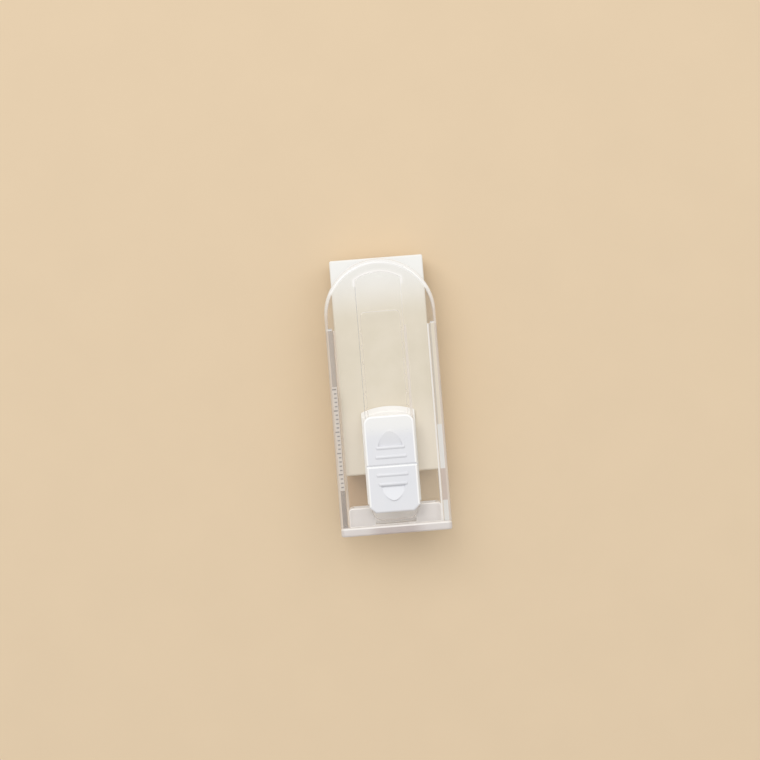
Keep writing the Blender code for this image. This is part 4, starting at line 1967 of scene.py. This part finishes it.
@dataclass(frozen=True)
class Studio:
    """A plain pale floor, two soft lamps and a camera straight above."""

    floor_colour: Colour = linear(229, 206, 174)
    floor_mottle: float = 0.985
    floor_size: float = 6.0
    floor_drop: float = 0.1 * MM
    lamps: tuple[Lamp, ...] = (
        Lamp("key_lamp", (-0.3, 0.62, 0.98), 0.8, 5.7),
        Lamp("side_lamp", (0.6, 0.42, 0.85), 0.7, 1.8),
    )
    surround_colour: Colour = linear(240, 232, 220)
    surround_light: float = 0.6
    camera_height: float = 0.70
    camera_lens_mm: float = 138.5
    camera_roll_degrees: float = -4.5
    camera_aim: tuple[float, float] = (-0.00119, 0.00369)

    def floor(self) -> None:
        """Lays the floor."""
        bpy.ops.object.select_all(action="DESELECT")
        bpy.ops.mesh.primitive_plane_add(size=self.floor_size, location=(0, 0, -self.floor_drop))
        floor = settle(bpy.context.active_object, "studio_floor")
        material = bpy.data.materials.new("floor")
        material.use_nodes = True
        graph = Graph(material.node_tree)
        shader = material.node_tree.nodes["Principled BSDF"]
        shader.inputs["Roughness"].default_value = 0.9
        shader.inputs["Specular IOR Level"].default_value = 0.1
        shader.inputs["Base Color"].default_value = self.floor_colour
        cloud = tuple(self.floor_mottle * value for value in self.floor_colour[:3]) + (1.0,)
        clouds = {"Base": self.floor_colour, "Cloud": cloud, "Clouds Per Metre": 60.0}
        mottle = Effects.place(graph, "soft mottle", clouds)
        graph.tree.links.new(mottle.outputs[0], shader.inputs["Base Color"])
        floor.data.materials.append(material)

    def world(self) -> None:
        """An even pale surround."""
        world = bpy.data.worlds.new("studio")
        world.use_nodes = True
        bpy.context.scene.world = world
        graph = Graph(world.node_tree)
        light = world.node_tree.nodes["Background"]
        light.inputs["Color"].default_value = grey(1.0)
        light.inputs["Strength"].default_value = self.surround_light
        seen = graph.node("ShaderNodeBackground", {"Color": self.surround_colour, "Strength": 1.0})
        rays = graph.node("ShaderNodeLightPath").outputs
        reflected = graph.maths("MAXIMUM", rays["Is Glossy Ray"], rays["Is Transmission Ray"])
        shown = graph.maths("MAXIMUM", rays["Is Camera Ray"], reflected)
        mix = graph.node("ShaderNodeMixShader", {0: shown, 1: light.outputs[0], 2: seen.outputs[0]})
        graph.tree.links.new(mix.outputs[0], world.node_tree.nodes["World Output"].inputs["Surface"])

    def camera(self) -> None:
        """Hangs the camera straight above, turned as the photograph is."""
        data = bpy.data.cameras.new("camera")
        data.lens = self.camera_lens_mm
        camera = bpy.data.objects.new("camera", data)
        camera.location = (*self.camera_aim, self.camera_height)
        camera.rotation_euler = (0, 0, math.radians(self.camera_roll_degrees))
        bpy.context.scene.collection.objects.link(camera)
        bpy.context.scene.camera = camera

    def build(self) -> None:
        """Sets up the floor, the lamps, the surround and the camera."""
        self.floor()
        for lamp in self.lamps:
            lamp.hang()
        self.world()
        self.camera()
        bpy.context.scene.view_settings.view_transform = "Standard"


def painted_light_finish(
    place: str, colour: Shade, cloud: Shade, roughness: tuple[float, float], see_through: float
) -> MilkyPlastic:
    """A finish of painted light on the clear plastic at one place: paler for a painted highlight, darker for
    painted shade.

    Args:
        place: the place.
        colour: the colour there, as a picture shows it.
        cloud: the colour of its clouds, as a picture shows it.
        roughness: the lowest and the highest roughness.
        see_through: how much of what is behind shows.

    Returns:
        The finish.
    """
    name = f"clear plastic {place}"
    return MilkyPlastic(name, linear(*colour), *roughness, cloud=linear(*cloud), see_through=see_through)


def build_case(sizes: CaseSizes) -> None:
    """Builds the clear case and its marks.

    Args:
        sizes: the case's sizes.
    """
    ClearCase(
        sizes,
        ClearPlastic("clear plastic", (0.998, 0.998, 0.995, 1.0), 0.02, 0.05, bump_metres=0.001 * MM),
        # painted highlight on the clear plastic's roundings, paler to the right and at the arch
        rim=painted_light_finish("rim", (238, 229, 220), (234, 225, 216), (0.12, 0.2), 0.5),
        # painted shade: grey where the clear walls and the channel's left edge are seen edge on
        edge_on=painted_light_finish("edge on", (205, 207, 213), (201, 203, 209), (0.06, 0.12), 0.7),
        # painted light: the right wall's top whitish, with a painted shade line and painted stretches
        right_edge_on=painted_light_finish("right edge", (240, 232, 216), (236, 228, 212), (0.06, 0.12), 0.28),
        # painted highlight: bright lines where the light catches
        bead=painted_light_finish("bead", (254, 251, 247), (251, 248, 244), (0.12, 0.2), 0.15),
        # painted highlight on the right step beside the channel
        channel_rim_highlight=painted_light_finish("channel rim", (236, 228, 220), (232, 224, 216), (0.1, 0.16), 0.4),
        # painted light: a pale finish where the clear plastic would show black
        base=painted_light_finish("base", (248, 243, 236), (245, 240, 232), (0.1, 0.16), 0.2),
        # painted shade, darker towards the foot
        left_foot_painted_shade=linear(170, 172, 180),
        right_painted_shade_line=linear(214, 208, 198),
        painted_right_stretches=(
            PaintedStretch(39.7 * MM, linear(240, 241, 239)),
            PaintedStretch(50.1 * MM, linear(211, 197, 189)),
            PaintedStretch(57.5 * MM, linear(235, 236, 235)),
        ),
        # painted shade: brown on the left half of the bay's floor
        floor_painted_shade=(0.77, 0.64, 0.57, 1.0),
        right_painted_highlight=linear(245, 237, 229),
        arch_painted_highlight=linear(254, 253, 252),
    ).build()
    ScaleMarks(
        sizes,
        ink=PrintedInk("printed ticks", linear(138, 130, 124), 0.4, 0.6, cloud=linear(158, 150, 143)),
        band=PrintedInk("printed band", linear(214, 204, 193), 0.4, 0.6, cloud=linear(208, 198, 187)),
    ).build()


def build_cap(sizes: CaseSizes) -> None:
    """Builds the end cap.

    Args:
        sizes: the case's sizes.
    """
    milky = MilkyPlastic(
        "milky plastic",
        linear(235, 230, 227),
        0.35,
        0.5,
        cloud=linear(230, 224, 221),
        passes=(0.88, 0.87, 0.86, 1.0),
        see_through=0.28,
    )
    rim_cloud = linear(248, 243, 238)
    EndCap(
        *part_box("end_cap"),
        sizes,
        finish=milky,
        inside=replace(milky, name="milky plastic inside", see_through=0.16),
        # painted highlight on the cap's roundings
        rim=MilkyPlastic(
            "milky plastic rim", linear(253, 248, 244), 0.3, 0.45, cloud=rim_cloud, see_through=0.1
        ),
        # painted shade at the middle of the flange's front
        middle=linear(206, 195, 192),
        # painted light on the plug
        plug_painted_light=linear(250, 246, 243),
    ).build()


def build_eraser() -> None:
    """Builds the eraser block."""
    vinyl = EraserVinyl(
        "eraser vinyl",
        linear(227, 217, 198),
        0.6,
        0.8,
        cloud=linear(221, 211, 190),
        # painted light: whiter at the working end, paler under the pad
        tip=linear(245, 244, 240),
        rear=linear(235, 225, 208),
    )
    EraserBlock(*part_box("eraser_block"), vinyl).build()


def build_slider(sizes: CaseSizes) -> None:
    """Builds the thumb pad and the pusher.

    Args:
        sizes: the case's sizes.
    """
    pad_low, pad_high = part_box("thumb_pad")
    pusher_low, pusher_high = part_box("pusher")
    ThumbPad(
        pad_low,
        pad_high,
        sizes,
        WhitePlastic("white pad plastic", linear(231, 231, 234), 0.26, 0.4, cloud=linear(228, 229, 233)),
        # painted highlight on the pad's lit roundings
        WhitePlastic("white pad edge", linear(254, 254, 253), 0.26, 0.4, cloud=linear(252, 252, 251)),
        # painted light on the pad's far end
        top_painted_light=linear(242, 241, 239),
    ).build()
    Pusher(
        pusher_low,
        pusher_high,
        pad_low,
        pad_high,
        WhitePlastic("white pusher plastic", linear(252, 250, 246), 0.35, 0.5, cloud=linear(249, 246, 241)),
    ).build()


def main() -> None:
    """Builds the studio and every sub-assembly of the eraser."""
    logging.basicConfig(level=logging.INFO, format="%(message)s")
    Studio().build()
    sizes = CaseSizes(*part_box("clear_case"))
    build_case(sizes)
    build_cap(sizes)
    build_eraser()
    build_slider(sizes)


if __name__ == "__main__":
    main()
